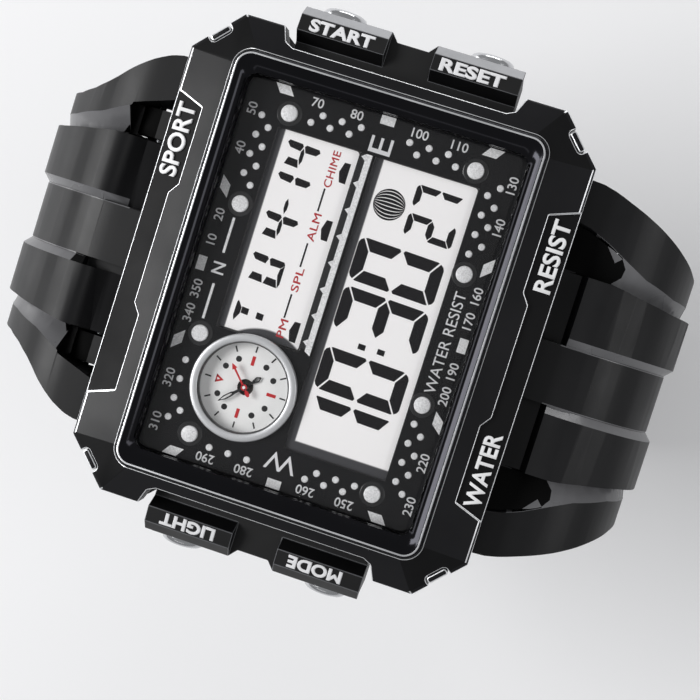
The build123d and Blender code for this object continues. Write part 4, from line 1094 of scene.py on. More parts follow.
# Its teeth in mm: height, half width, overlap with the bar, middle of the first, pitch, and their number
TOOTH_HEIGHT, TOOTH_HALF, TOOTH_SINK, TOOTH_START, TOOTH_PITCH, TEETH = 0.42, 0.34, 0.02, -4.06, 2.55, 8
# The black ground behind the teeth in mm: reach below the bar, slant, lift off the mask and thickness
GROUND_BELOW, GROUND_SLANT, GROUND_LIFT, GROUND_THICK = 0.1, 0.5, 0.005, 0.02


class WATCH_OT_divider(bpy.types.Operator):
    """Cut the silver bar between the displays, with its row of small teeth"""
    bl_idname = "watch.divider"
    bl_label = "Divider"

    def execute(self, context):
        low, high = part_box("divider_bar")
        right = high.x / MM + BAR_PAST
        outlines = [[(BAR_LEFT, BAR_FOOT), (right, BAR_FOOT), (right, BAR_HEAD),
                     (BAR_LEFT + BAR_SLANT, BAR_HEAD)]]
        for number in range(TEETH):
            x = TOOTH_START + number * TOOTH_PITCH
            outlines.append([(x - TOOTH_HALF, BAR_HEAD - TOOTH_SINK), (x + TOOTH_HALF, BAR_HEAD - TOOTH_SINK),
                             (x, BAR_HEAD + TOOTH_HEIGHT)])
        bar = plates(outlines, low.z, BAR_THICK * MM, "toothed_divider")
        wear(bar, silver_ink, "case", "stud_silver", "divider_bar")
        ground = [(BAR_LEFT + BAR_SLANT, BAR_FOOT - GROUND_BELOW), (right, BAR_FOOT - GROUND_BELOW),
                  (right, UPPER_FOOT), (BAR_LEFT + GROUND_SLANT, UPPER_FOOT)]
        band = plates([ground], top_of("dial_mask") + GROUND_LIFT * MM, GROUND_THICK * MM, "divider_ground")
        wear(band, black_enamel, "case", "dial_black")
        return {"FINISHED"}


# The window rims in mm: half width of the lip, corner radius and gap to the display and to the mask's top,
# and the faces round a corner
LIP, LIP_CORNER, LIP_GAP, LIP_STEPS = 0.06, 0.34, 0.02, 6


class WATCH_OT_window_rims(bpy.types.Operator):
    """Line the display windows with thin black rims whose corners are round"""
    bl_idname = "watch.window_rims"
    bl_label = "Window rims"

    def execute(self, context):
        low, high = top_of("lcd_panel") + LIP_GAP * MM, top_of("dial_mask") - LIP_GAP * MM
        rims = []
        upper = (BAR_LEFT * MM, *upper_window()[1:])
        for left, right, foot, head in (upper, lower_window()):
            half_x, half_y = (right - left) / 2, (head - foot) / 2
            loops = [ring_of(half_x + lip * MM, half_y + lip * MM, LIP_CORNER * MM, z, LIP_STEPS)
                     for lip, z in ((LIP, low), (LIP, high), (-LIP, (low + high) / 2))]
            rims.append(settle(bridged(loops, "rim"), (left + half_x, foot + half_y, 0)))
        whole = join(rims, "window_rims")
        smooth(whole, 40)
        wear(whole, black_enamel, "case", "dial_black")
        return {"FINISHED"}


# Numerals round the mask: text and place along the side, in mm
TOP_NUMERALS = [("310", -15.4), ("320", -11.1), ("340", -4.75), ("350", -2.4), ("10", 2.4), ("20", 4.8),
                ("40", 11.3), ("50", 15.1)]
LOW_NUMERALS = [("230", -15.6), ("220", -11.4), ("200", -4.9), ("190", -2.5), ("170", 2.35), ("160", 4.75),
                ("140", 11.3), ("130", 15.3)]
RIGHT_NUMERALS = [("70", 6.75), ("80", 2.95), ("100", -3.15), ("110", -6.95)]
LEFT_NUMERALS = [("290", 6.95), ("280", 3.15), ("260", -2.95), ("250", -6.75)]
TOP_Y, LOW_Y, SIDE_X = 12.5, -12.6, 17.3
NUMERAL_WEIGHT = 0.012
# Letters on the mask: text, middle along X and Y in mm, turn, height and width in mm, and weight
MASK_LETTERS = [("E", 15.25, 0, 0, 2.1, 1.55, 0), ("W", -15.5, 0, pi / 2, 1.7, 3.0, 0),
                ("WATER RESIST", -0.2, -11.15, 0, 1.05, 9.7, 0), ("N", 0, 11.05, 0, 1.2, 1.1, NUMERAL_WEIGHT)]


class WATCH_OT_numerals(bpy.types.Operator):
    """Print the degree numerals and the letters on the mask"""
    bl_idname = "watch.numerals"
    bl_label = "Numerals"

    def execute(self, context):
        settings = context.scene.watch_dial
        face = top_of("dial_mask")
        thick = settings.print_thickness
        rows = [(text, x, TOP_Y, 0) for text, x in TOP_NUMERALS]
        rows += [(text, x, LOW_Y, 0) for text, x in LOW_NUMERALS]
        rows += [(text, SIDE_X, y, -pi / 2) for text, y in RIGHT_NUMERALS]
        rows += [(text, -SIDE_X, y, pi / 2) for text, y in LEFT_NUMERALS]
        words = []
        for text, x, y, turn in rows:
            letters = word(text, settings.numeral_height, thick, weight=NUMERAL_WEIGHT)
            words.append(settle(letters, (x * MM, y * MM, face), (0, 0, turn)))
        for text, x, y, turn, height, width, weight in MASK_LETTERS:
            letters = word(text, height * MM, thick, width * MM, weight)
            words.append(settle(letters, (x * MM, y * MM, face), (0, 0, turn)))
        wear(join(words, "mask_numerals"), white_ink, "case", "stud_silver")
        return {"FINISHED"}


# Silver blocks on the mask in mm: middle, half width and half height, and how far the upper edge leans along
# X and the right edge along Y
BLOCKS = [block for side in (-1, 1) for block in (
    (0, side * 12.75, 0.68, 0.42, 0, 0), (side * 17.6, 0.05, 0.42, 0.68, 0, 0),
    (-7.45, side * 12.75, 0.62, 0.45, -side * 0.38, 0), (7.45, side * 12.75, 0.62, 0.45, side * 0.38, 0),
    (side * 17.6, -10.05, 0.42, 0.68, 0, -side * 0.3), (side * 17.6, 10.05, 0.42, 0.68, 0, side * 0.3),
    (side * 3.2, 11.05, 1.7, 0.12, 0, 0))]
# Rows of dots: first dot's X and Y in mm, number of row gaps below that, way along X and Y, and count
DOT_ROWS = [(9.15, 11.45, 0, 1, 0, 4), (8.2, 11.45, 1, 1, 0, 4), (-9.1, 11.45, 0, -1, 0, 4),
            (-13.8, 11.45, 1, 0, 0, 1), (8.2, -10.72, 0, 1, 0, 4), (9.15, -10.72, 1, 1, 0, 4),
            (-8.2, -10.72, 0, -1, 0, 4), (-9.15, -10.72, 1, -1, 0, 4), (15.4, 6.85, 0, 0, -1, 3),
            (16.3, 5.95, 0, 0, -1, 3), (15.4, -3.4, 0, 0, -1, 3), (16.3, -2.45, 0, 0, -1, 3),
            (-16.25, 6.85, 0, 0, -1, 3), (-16.25, -2.6, 0, 0, -1, 3), (-15.4, -3.5, 0, 0, -1, 3)]
# A dot is this many times as thick as the other print, has its flat top within this share of its radius,
# and this height in mm at its edge
DOT_THICK, DOT_FLAT, DOT_EDGE = 3, 0.8, 0.02


class WATCH_OT_mask_blocks(bpy.types.Operator):
    """Print the silver blocks, slanted blocks and dots on the mask"""
    bl_idname = "watch.mask_blocks"
    bl_label = "Blocks and dots"

    def execute(self, context):
        settings = context.scene.watch_dial
        face = top_of("dial_mask")
        outlines = [[(x - half_x - lean_x, y - half_y - lean_y), (x + half_x - lean_x, y - half_y + lean_y),
                     (x + half_x + lean_x, y + half_y + lean_y), (x - half_x + lean_x, y + half_y - lean_y)]
                    for x, y, half_x, half_y, lean_x, lean_y in BLOCKS]
        blocks = plates(outlines, face, settings.print_thickness, "blocks")
        radius, high = settings.dot_radius, settings.print_thickness * DOT_THICK
        dot = turned([(0, high), (radius * DOT_FLAT, high), (radius, DOT_EDGE * MM), (radius, 0), (0, 0)],
                     (0, 0, face), 16)
        dots = copies(dot, dot_places(settings), "dots")
        wear(join([blocks, dots], "mask_blocks"), silver_ink, "case", "stud_silver")
        return {"FINISHED"}


def dot_places(settings):
    """Zigzag rows of dots beside the windows, clear of the gauge's ring."""
    pitch, gap = settings.dot_pitch, settings.row_gap
    return [(x * MM + number * pitch * way_x, y * MM - gaps * gap + number * pitch * way_y)
            for x, y, gaps, way_x, way_y, count in DOT_ROWS for number in range(count)]


# Lit segments of each character: a top, b and c right, d bottom, e and f left, g middle
LIT = {"0": "abcdef", "1": "bc", "2": "abged", "3": "abgcd", "4": "fgbc", "5": "afgcd", "6": "afgecd",
       "7": "abc", "8": "abcdefg", "9": "abfgcd", "U": "bcdef", "T": "tuv"}


def mirrored(outline, width):
    """An outline with left and right exchanged."""
    return [(width - x, y) for x, y in reversed(outline)]


def upturned(outline, height):
    """An outline turned upside down."""
    return [(x, height - y) for x, y in reversed(outline)]


def segments(character, width, height, bar, corner):
    """Outlines of a character's lit segments, from its lower left corner, upright.

    The ends are cut to points that leave fine gaps, and corner tells how far the outer corners are
    rounded, as a share of the bar.
    """
    middle = height / 2
    top = [(1.05 * bar, height - bar), (width - 1.05 * bar, height - bar),
           (width - 0.1 * bar, height - 0.36 * bar), (width - corner * bar / 2, height - 0.13 * bar),
           (width - corner * bar, height), (corner * bar, height), (corner * bar / 2, height - 0.13 * bar),
           (0.1 * bar, height - 0.36 * bar)]
    side = [(0, middle + 0.22 * bar), (0.19 * bar, middle + 0.1 * bar), (bar, middle + 0.7 * bar),
            (bar, height - 1.12 * bar), (0.05 * bar, height - 0.5 * bar), (0, height - 0.62 * bar)]
    across = [(0.3 * bar, middle), (0.95 * bar, middle - bar / 2), (width - 0.95 * bar, middle - bar / 2),
              (width - 0.3 * bar, middle), (width - 0.95 * bar, middle + bar / 2),
              (0.95 * bar, middle + bar / 2)]
    right = mirrored(side, width)
    shapes = {"a": top, "b": right, "c": upturned(right, height), "d": upturned(top, height),
              "e": upturned(side, height), "f": side, "g": across}
    return [shapes[letter] for letter in LIT[character]]


def day_segments(character, width, height, bar):
    """The same for the small upper row, whose bars are blunt at the left and round at the right."""
    middle = height / 2
    round_side = [(width - 1.05 * bar, middle + 0.37 * bar), (width - 0.3 * bar, middle + 0.08 * bar),
                  (width, middle + 0.3 * bar), (width, height - 0.22 * bar), (width - 0.4 * bar, height),
                  (width - 0.95 * bar, height - 0.5 * bar)]
    blunt_side = [(0, middle + 0.07 * bar), (1.05 * bar, middle + 0.36 * bar),
                  (1.05 * bar, height - 0.65 * bar), (0, height - 0.3 * bar)]
    across = [(0.45 * bar, middle), (1.1 * bar, middle - 0.25 * bar),
              (width - 1.2 * bar, middle - 0.25 * bar), (width - 0.5 * bar, middle),
              (width - 1.1 * bar, middle + 0.25 * bar), (1.15 * bar, middle + 0.25 * bar)]
    foot = [(0.05 * bar, 0.22 * bar), (0.6 * bar, 0), (width - 0.45 * bar, 0),
            (width - 1.1 * bar, 0.55 * bar), (1.7 * bar, 0.64 * bar)]
    head = [(0, height - 0.06 * bar), (1.2 * bar, height - 0.68 * bar),
            (width - 0.85 * bar, height - 0.68 * bar), (width, height - 0.03 * bar),
            (width - 0.35 * bar, height + 0.12 * bar), (0.65 * bar, height + 0.15 * bar)]

    def stem(low):
        left, right = width / 2 - 0.15 * bar, width / 2 + 0.75 * bar
        return [(left, low), (right, low), (right, low + bar), (left, low + bar)]

    shapes = {"b": round_side, "c": upturned(round_side, height), "d": foot,
              "e": upturned(blunt_side, height), "f": blunt_side, "g": across, "t": head,
              "u": stem(middle + 0.6 * bar), "v": stem(0.78 * bar)}
    return [shapes[letter] for letter in LIT[character]]


# Thickness of the marks on the display and the gauge, in mm
MARK = 0.02
# The large digits and the seconds, in mm: left edges at their foot, foot, width and bar, and rounding
TIME_X, TIME_Y, TIME_WIDTH, TIME_BAR, TIME_CORNER = (-12.85, -8.1, -2.22, 2.5), -9.0, 4.12, 1.14, 0.52
SECONDS_X, SECONDS_Y, SECONDS_WIDTH, SECONDS_BAR, SECONDS_CORNER = (8.03, 10.75), -8.96, 2.1, 0.61, 0.62
SECONDS_HEIGHT = 4.66
# The colon's dots in mm: left edge and foot of each, and their width and height
COLON = [(-3.2225, -4.25), (-3.167, -6.1)]
COLON_WIDTH, COLON_HEIGHT = 0.52, 0.7
# Day and date in mm: left edge and width of each character, foot, height and bar, and the hyphen's place
DATE_CELLS = [(-4.4, 1.95), (-0.2, 2.52), (4.07, 2.27), (7.85, 2.27), (10.93, 2.27)]
DATE_Y, DATE_HEIGHT, DATE_BAR, HYPHEN_X, HYPHEN_Y = 5.2, 3.22, 0.68, 6.6, 6.8
HYPHEN = [(0, 0), (0.5, -0.17), (1.0, -0.17), (1.5, 0), (1.1, 0.17), (0.5, 0.17)]
# Red labels in mm: text, middle along X and width, then their middle along Y, height, weight and spacing
LABELS = [("PM", -3.57, 1.74), ("SPL", 1.17, 2.26), ("ALM", 6.27, 2.66), ("CHIME", 11.9, 3.48)]
LABEL_Y, LABEL_HEIGHT, LABEL_WEIGHT, LABEL_SPACING = 3.71, 0.74, 0.013, 1.05
# Dashes between the labels in mm: both ends along X, then their middle along Y and half height
DASHES = [(-2.56, -0.26), (2.4, 4.7), (7.8, 10.0)]
DASH_Y, DASH_HALF = 3.83, 0.08
# Flags below three of the labels in mm: their middles along X and Y, and their outline
FLAGS, FLAG_Y = (-3.55, 6.33, 11.88), 2.57
FLAG = [(-0.97, -0.4), (0.97, -0.4), (0.95, 0.18), (0, 0.46), (-0.95, 0.2)]
# The striped ball in mm: middle and radius, then the edges of its slices as shares of the radius, half the
# gap between two of them, and the points along each
BALL_X, BALL_Y, BALL_R = 10.35, -2.33, 1.5
BALL_EDGES, BALL_GAP, BALL_POINTS = (-1.0, -0.82, -0.6, -0.36, -0.12, 0.12, 0.36, 0.6, 0.82, 1.0), 0.026, 18


class WATCH_OT_display(bpy.types.Operator):
    """Lay out the display's segments, labels and marks"""
    bl_idname = "watch.display"
    bl_label = "Display"

    def execute(self, context):
        settings = context.scene.watch_display
        face = top_of("lcd_panel")
        thick = MARK * MM
        outlines = ball(BALL_X, BALL_Y, BALL_R)

        def put(shapes, x, y, slant=0.0):
            """Add outlines in mm at a place, leaning to the right."""
            for shape in shapes:
                outlines.append([(x + a + sin(slant) * b, y + b) for a, b in shape])

        hours, minutes = settings.time.split(":")
        for text, x in zip(hours + minutes, TIME_X):
            digit = segments(text, TIME_WIDTH, settings.time_height / MM, TIME_BAR, TIME_CORNER)
            put(digit, x, TIME_Y, settings.slant)
        for x, y in COLON:
            put([[(0, 0), (COLON_WIDTH, 0), (COLON_WIDTH, COLON_HEIGHT), (0, COLON_HEIGHT)]], x, y,
                settings.slant)
        for text, x in zip(settings.seconds, SECONDS_X):
            digit = segments(text, SECONDS_WIDTH, SECONDS_HEIGHT, SECONDS_BAR, SECONDS_CORNER)
            put(digit, x, SECONDS_Y, settings.slant)
        characters = settings.date.replace(" ", "").replace("-", "")
        for text, (x, width) in zip(characters, DATE_CELLS):
            put(day_segments(text, width, DATE_HEIGHT, DATE_BAR), x, DATE_Y, settings.date_slant)
        put([HYPHEN], HYPHEN_X, HYPHEN_Y)
        for x in FLAGS:
            put([FLAG], x, FLAG_Y)
        for left, right in DASHES:
            put([[(left, -DASH_HALF), (right, -DASH_HALF), (right, DASH_HALF), (left, DASH_HALF)]], 0, DASH_Y)
        lit = plates(outlines, face, thick, "lit_segments")
        wear(lit, segment_dark, "case", "lcd")

        labels = []
        for text, x, width in LABELS:
            letters = word(text, LABEL_HEIGHT * MM, thick, width * MM, LABEL_WEIGHT, LABEL_SPACING)
            labels.append(settle(letters, (x * MM, LABEL_Y * MM, face)))
        wear(join(labels, "red_labels"), red_ink, "case", "lcd")
        return {"FINISHED"}


def ball(x, y, radius):
    """Slices of a striped ball between meridians, from pole to pole."""
    slices = []
    angles = [pi * (step + 0.5) / BALL_POINTS for step in range(BALL_POINTS)]
    for left, right in zip(BALL_EDGES, BALL_EDGES[1:]):
        up = [(x + (right - BALL_GAP) * radius * sin(a), y - radius * cos(a)) for a in angles]
        down = [(x + (left + BALL_GAP) * radius * sin(a), y - radius * cos(a)) for a in reversed(angles)]
        slices.append(up + down)
    return slices


# The gauge's ring in mm: its wall and the recess under its outer edge, and that edge's height
RING_WALL, RING_RECESS, RING_EDGE = 0.77, 0.35, 0.65
# The dark chamfer inside the ring in mm: how far it reaches inward and into the ring, and its drops below
# the ring's top at its inner and outer edge and at its foot
CHAMFER_IN, CHAMFER_OUT, CHAMFER_LOW, CHAMFER_HIGH, CHAMFER_FOOT = 0.09, 0.02, 0.24, 0.04, 0.75


class WATCH_OT_gauge_ring(bpy.types.Operator):
    """Turn the gauge's flat satin ring with its dark inner chamfer"""
    bl_idname = "watch.gauge_ring"
    bl_label = "Gauge ring"

    def execute(self, context):
        low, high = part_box("gauge_ring")
        x, y, outer = gauge_place()
        inner = outer - RING_WALL * MM
        top = high.z
        edge, recess = top - RING_EDGE * MM, outer - RING_RECESS * MM
        profile = [(inner, low.z), (inner, top - 0.12 * MM), (inner + 0.07 * MM, top - 0.03 * MM),
                   (inner + 0.13 * MM, top), (outer - 0.12 * MM, top), (outer - 0.04 * MM, top - 0.04 * MM),
                   (outer, top - 0.13 * MM), (outer, edge), (recess, edge), (recess, low.z), (inner, low.z)]
        near, far = inner - CHAMFER_IN * MM, inner + CHAMFER_OUT * MM
        chamfer = [(near, top - CHAMFER_LOW * MM), (far, top - CHAMFER_HIGH * MM),
                   (far, top - CHAMFER_FOOT * MM), (near, top - CHAMFER_FOOT * MM),
                   (near, top - CHAMFER_LOW * MM)]
        ring = turned(profile, (x, y, 0), 96)
        ring.name = "turned_gauge_ring"
        smooth(ring, 40)
        wear(ring, gauge_silver, "case", "gauge_silver", "gauge_ring")
        lip = turned(chamfer, (x, y, 0), 96)
        lip.name = "gauge_ring_chamfer"
        smooth(lip, 40)
        wear(lip, black_enamel, "case", "hand_black")
        return {"FINISHED"}


# Marks on the gauge's face as they stand at 12, in mm: a stroke at each hour, a bar at 3, 6 and 9, the
# pieces of an open triangle at 12, and the radius, middle and number of points of the dots between
STROKE = [(-0.07, 3.4), (0.07, 3.4), (0.07, 3.98), (-0.07, 3.98)]
RED_BAR = [(-0.155, 2.12), (0.155, 2.12), (0.155, 3.02), (-0.155, 3.02)]
TRIANGLE = [[(0.0, 2.14), (0.42, 2.92), (0.2, 2.92), (0.0, 2.5)],
            [(0.0, 2.14), (0.0, 2.5), (-0.2, 2.92), (-0.42, 2.92)],
            [(-0.3, 2.8), (0.3, 2.8), (0.38, 2.92), (-0.38, 2.92)]]
HOUR_DOT_R, HOUR_DOT_Y, HOUR_DOT_POINTS = 0.285, 2.72, 20


class WATCH_OT_gauge_marks(bpy.types.Operator):
    """Print the strokes, dots, bars and triangle on the gauge's face"""
    bl_idname = "watch.gauge_marks"
    bl_label = "Gauge marks"

    def execute(self, context):
        face = top_of("gauge_dial")
        place = (*gauge_place()[:2], 0)
        turns = [-2 * pi * step / HOUR_DOT_POINTS for step in range(HOUR_DOT_POINTS)]
        hour_dot = [(HOUR_DOT_R * sin(a), HOUR_DOT_Y + HOUR_DOT_R * cos(a)) for a in turns]
        black, red = [], []
        for hour in range(12):
            shapes = TRIANGLE if hour == 0 else [RED_BAR] if hour % 3 == 0 else [hour_dot]
            marks = [(STROKE, black)] + [(shape, black if hour % 3 else red) for shape in shapes]
            for outline, kind in marks:
                mark = plate(metres(outline), face, MARK * MM)
                kind.append(settle(mark, place, (0, 0, -hour * pi / 6)))
        wear(join(black, "gauge_ticks"), black_enamel, "case", "hand_black")
        wear(join(red, "gauge_red_marks"), red_enamel, "case", "hand_red")
        return {"FINISHED"}


# Half outlines of the hands in mm, from the hub towards the tip: distance along the hand and half width
HOUR_HAND = [(0.0, 0.11), (0.75, 0.11), (0.98, 0.16), (1.42, 0.27), (1.78, 0.05)]
HOUR_SLOT = [(1.12, 0.05), (1.42, 0.14), (1.6, 0.05)]
MINUTE_HAND = [(0.0, 0.12), (1.05, 0.13), (1.35, 0.2), (2.1, 0.21), (2.8, 0.03)]
MINUTE_SLOT = [(1.3, 0.06), (1.6, 0.1), (2.1, 0.09), (2.5, 0.03)]
SECOND_HAND = [(0.0, 0.075), (1.95, 0.085), (1.96, 0.26), (2.52, 0.01)]
SECOND_TAIL = [(0.0, 0.075), (0.35, 0.08), (0.5, 0.17), (0.78, 0.2), (0.98, 0.09)]


# The hands: node, half outline, slot, material, slot's name, and the hub's radius and the thickness in mm
HANDS = [("hour_hand", HOUR_HAND, HOUR_SLOT, black_enamel, "hand_black", 0.34, 0.12),
         ("minute_hand", MINUTE_HAND, MINUTE_SLOT, black_enamel, "hand_black", 0.3, 0.12),
         ("second_hand", SECOND_HAND, (), red_enamel, "hand_red", 0.3, 0.1)]
# Their hubs in mm: radius of the arbor below, and how far the upper edge is cut back and down
ARBOR_R, HUB_BACK, HUB_DOWN = 0.2, 0.03, 0.02
# The white pin on the second hand's hub in mm: radius and height
PIN_R, PIN_HEIGHT = 0.15, 0.03


def hand_plate(half, low, thickness, slot=()):
    """A hand from its half outline, pointing to 12, perhaps with a slot through its blade."""
    if slot:
        foot, tip = slot[0][0], slot[-1][0]
        corner = (half_width(half, foot), foot)
        shaft = [(w, d) for d, w in half if d < foot] + [corner]
        blade = [corner] + [(w, d) for d, w in half if d >= foot] + [(0, half[-1][0])]
        blade += [(0, tip)] + [(w, d) for d, w in reversed(slot)] + [(0, foot)]
        outlines = [shaft + mirrored(shaft, 0), blade, mirrored(blade, 0)]
    else:
        side = [(w, d) for d, w in half]
        outlines = [side + mirrored(side, 0)]
    return plates(outlines, low, thickness, "hand")


def half_width(half, distance):
    """The half width of a hand's outline at a distance from its hub."""
    for (d0, w0), (d1, w1) in zip(half, half[1:]):
        if d0 <= distance <= d1:
            return w0 + (w1 - w0) * (distance - d0) / (d1 - d0)
    return half[-1][1]


class WATCH_OT_gauge_hands(bpy.types.Operator):
    """Cut the gauge's three fine hands and turn the hub on its arbor"""
    bl_idname = "watch.gauge_hands"
    bl_label = "Gauge hands"

    def execute(self, context):
        x, y = gauge_place()[:2]
        for node, half, slot, make, slot_name, hub, thick in HANDS:
            low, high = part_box(node)
            height = high.z - thick * MM
            parts = [hand_plate(half, height, thick * MM, slot)]
            if node == "second_hand":
                tail = hand_plate(SECOND_TAIL, height, thick * MM)
                parts.append(settle(tail, turn=(0, 0, pi)))
            arbor, radius = ARBOR_R * MM, hub * MM
            parts.append(turned([(0, low.z), (arbor, low.z), (arbor, height), (radius, height),
                                 (radius, high.z - HUB_DOWN * MM), (radius - HUB_BACK * MM, high.z),
                                 (0, high.z)], (0, 0, 0), 28))
            hand = join(parts, f"{node}_cut")
            settle(hand, (x, y, 0), (0, 0, -getattr(context.scene.watch_gauge, node)))
            tidy(hand)
            smooth(hand, 30)
            wear(hand, make, node, slot_name, node)
        low = top_of("second_hand")
        high = low + PIN_HEIGHT * MM
        pin = turned([(PIN_R * MM, low), (PIN_R * MM, high), (0, high), (0, low)], (x, y, 0), 24)
        pin.name = "second_hand_pin"
        wear(tidy(pin), white_paint, "second_hand", "gauge_white")
        return {"FINISHED"}


# The pushers' stems: radius in mm, and the share of it left in the clip's groove and at the inner end
STEM_R, GROOVE_SHARE, END_SHARE = 1.0, 0.75, 0.85
# The groove's width, the inner end's bevel, and the head's length and inner bevel, in mm
GROOVE_WIDTH, END_BEVEL, HEAD_LENGTH, HEAD_BEVEL = 0.3, 0.15, 2.3, 0.1
# The domed head's outer edge in mm: inset from its radius and from its outer face
DOME = [(0, 0.62), (0.04, 0.42), (0.18, 0.2), (0.4, 0.06), (0.65, 0)]


class WATCH_OT_pushers(bpy.types.Operator):
    """Turn the four pushers with domed polished heads"""
    bl_idname = "watch.pushers"
    bl_label = "Pushers"

    def execute(self, context):
        for name in PUSHERS:
            low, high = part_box(f"pusher_{name}")
            side = 1 if low.x > 0 else -1
            inner, outer = (low.x, high.x) if side > 0 else (-high.x, -low.x)
            radius, stem, head = (high.z - low.z) / 2, STEM_R * MM, outer - HEAD_LENGTH * MM
            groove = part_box(f"pusher_clip_{name}")[0 if side > 0 else 1].x * side
            groove_end = groove + GROOVE_WIDTH * MM
            profile = [(0, inner), (END_SHARE * stem, inner), (stem, inner + END_BEVEL * MM), (stem, groove),
                       (GROOVE_SHARE * stem, groove), (GROOVE_SHARE * stem, groove_end), (stem, groove_end),
                       (stem, head), (radius - HEAD_BEVEL * MM, head), (radius, head + HEAD_BEVEL * MM)]
            profile += [(radius - in_by * MM, outer - down * MM) for in_by, down in DOME] + [(0, outer)]
            axis = (0, (low.y + high.y) / 2, (low.z + high.z) / 2)
            piece = turned(profile, axis, 48, (side, 0, 0))
            piece.name = f"turned_pusher_{name}"
            smooth(piece, 35)
            wear(piece, polished_steel, f"pusher_{name}", "pusher_steel", f"pusher_{name}")
        return {"FINISHED"}


class WATCH_OT_pusher_springs(bpy.types.Operator):
    """Finish each pusher's coil spring, with a mesh of its own"""
    bl_idname = "watch.pusher_springs"
    bl_label = "Pusher springs"

    def execute(self, context):
        for name in PUSHERS:
            spring = dressed(f"pusher_spring_{name}", f"coil_spring_{name}", spring_steel,
                             None, 0)
            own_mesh(spring)
        return {"FINISHED"}


# The strap's outer bend beside the case, in mm: its radius and centre, and where the root begins
BEND_R, BEND_Y, BEND_Z = 9.6, 22.6, 47.0
ROOT_Y = 19.05
# The construction strap's outline and trough wall, in mm: distance along Y and half width
ROUGH_OUTLINE = [(19.05, 17.9), (22.6, 17.07), (25.48, 14.71), (29.8, 12.47), (33.2, 12.0)]
ROUGH_TROUGH = [(22.6, 12.7), (33.2, 10.7)]
# Its other lines by their half width in mm: the middle band's edge, the ribs' inner edge, the far side of the
# slot between them, the ribs' outer edge, both sides of the ear's slot, and the trough's foot
ROUGH_MIDDLE, ROUGH_RIB_IN, ROUGH_GROOVE, ROUGH_RIB_OUT = 3.0, 3.4, 3.7, 9.2
ROUGH_EAR_IN, ROUGH_EAR_OUT, ROUGH_TROUGH_FOOT = 9.6, 13.0, 10.42
# The finished shape, in mm: distance along Y or along the face, and half width
OUTLINE = {1: [(0, 18.1), (1.3, 18.1), (2.6, 17.8), (4.0, 17.1), (5.1, 16.35), (6.2, 15.5), (7.2, 14.6),
               (8.2, 13.85), (10, 12.85), (12.4, 12.15), (15, 12.0)],
           -1: [(0, 18.15), (1.6, 18.05), (3.0, 17.7), (4.2, 17.25), (6.0, 16.6), (7.8, 15.9), (10, 14.95),
                (11.9, 14.1), (15, 12.85), (18.6, 12.0)]}
BAND_EDGE = [(0, 14.2), (1.5, 13.9), (3.45, 13.1), (5.2, 12.2), (6, 11.8), (8, 10.9), (12.3, 10.0),
             (18.6, 9.7)]
RIB_EDGE = [(0, 9.5), (5.3, 9.45), (8, 9.0), (12, 8.55), (18, 8.4)]
ROOT_EDGE = [(19.05, 14.2), (24.05, 12.5)]
EAR_SLOT = {ROUGH_EAR_IN: 9.85, ROUGH_EAR_OUT: 12.75}
# Depth of the hollow beside each rib, and height of the rib, for the 12 and the 6 o'clock half
HOLLOW = {1: [(5.6, 1.6), (7.6, 0.9), (12, 0.5), (18, 0.25)],
          -1: [(5.2, 1.1), (8, 1.1), (12, 0.7), (18, 0.25)]}
RIB_HEIGHT = {1: [(19.05, -1.5), (21.8, -0.9), (23.85, 0.6), (25.2, 0.75)],
              -1: [(19.05, -1.2), (21.3, -1.1), (21.8, 0.5), (23.85, 0.7), (25.2, 0.75)]}
# Middle band: half width, foot and head of the slanted walls up to the ribs, and height
MIDDLE_X, WALL_FOOT_X, WALL_HEAD_X, MIDDLE_RISE = 2.75, 2.85, 3.62, 0.1
# How the rough strap's parts are told apart, in mm: it is shaped above SHAPED_Z, its leg's side lies past
# LEG_X and LEG_Y, its face's own forms are up to FACE_DEPTH deep and its inner side more than INNER_DEPTH
SHAPED_Z, LEG_X, LEG_Y, FACE_DEPTH, INNER_DEPTH = 26, 11.9, 29, 1.7, 2.9
# The slots for the ears in mm: their lowest and highest place, their far end and that of the root inside
EAR_SLOT_Z, EAR_SLOT_Y, ROOT_INSIDE_Y = (49, 53), 24.2, 25
# Where the rough strap is cut across: its root along Y and its leg along Z in mm, and its bend in degrees
ROOT_CUTS, LEG_CUTS = (20.6, 21.3, 21.8), (45.5, 42, 38.5, 35, 31.5)
BEND_CUTS = [7.5 * number for number in range(1, 12)]


def along(table, at):
    """The value of a table at a place, straight between its rows and level past its ends."""
    for (a, low), (b, high) in zip(table, table[1:]):
        if at <= b:
            return low + (high - low) * max(0.0, at - a) / (b - a)
    return table[-1][1]


def on_face(y, z):
    """Run along the strap's outer face from its root, and height above the thin band's face, in mm."""
    if y <= BEND_Y:
        return y - ROOT_Y, z - BEND_Z - BEND_R
    if z >= BEND_Z:
        turn = atan2(y - BEND_Y, z - BEND_Z)
        return BEND_Y - ROOT_Y + BEND_R * turn, sqrt((y - BEND_Y) ** 2 + (z - BEND_Z) ** 2) - BEND_R
    return BEND_Y - ROOT_Y + BEND_R * pi / 2 + BEND_Z - z, y - BEND_Y - BEND_R


def off_face(run, height):
    """The Y and Z of a point by its run and height."""
    run -= BEND_Y - ROOT_Y
    if run <= 0:
        return BEND_Y + run, BEND_Z + BEND_R + height
    turn = min(run / BEND_R, pi / 2)
    below = max(0.0, run - BEND_R * pi / 2)
    return BEND_Y + (BEND_R + height) * sin(turn), BEND_Z + (BEND_R + height) * cos(turn) - below


def near(value, line, slack=0.02):
    """Whether a value lies on a line of the rough strap, in mm."""
    return abs(value - line) < slack


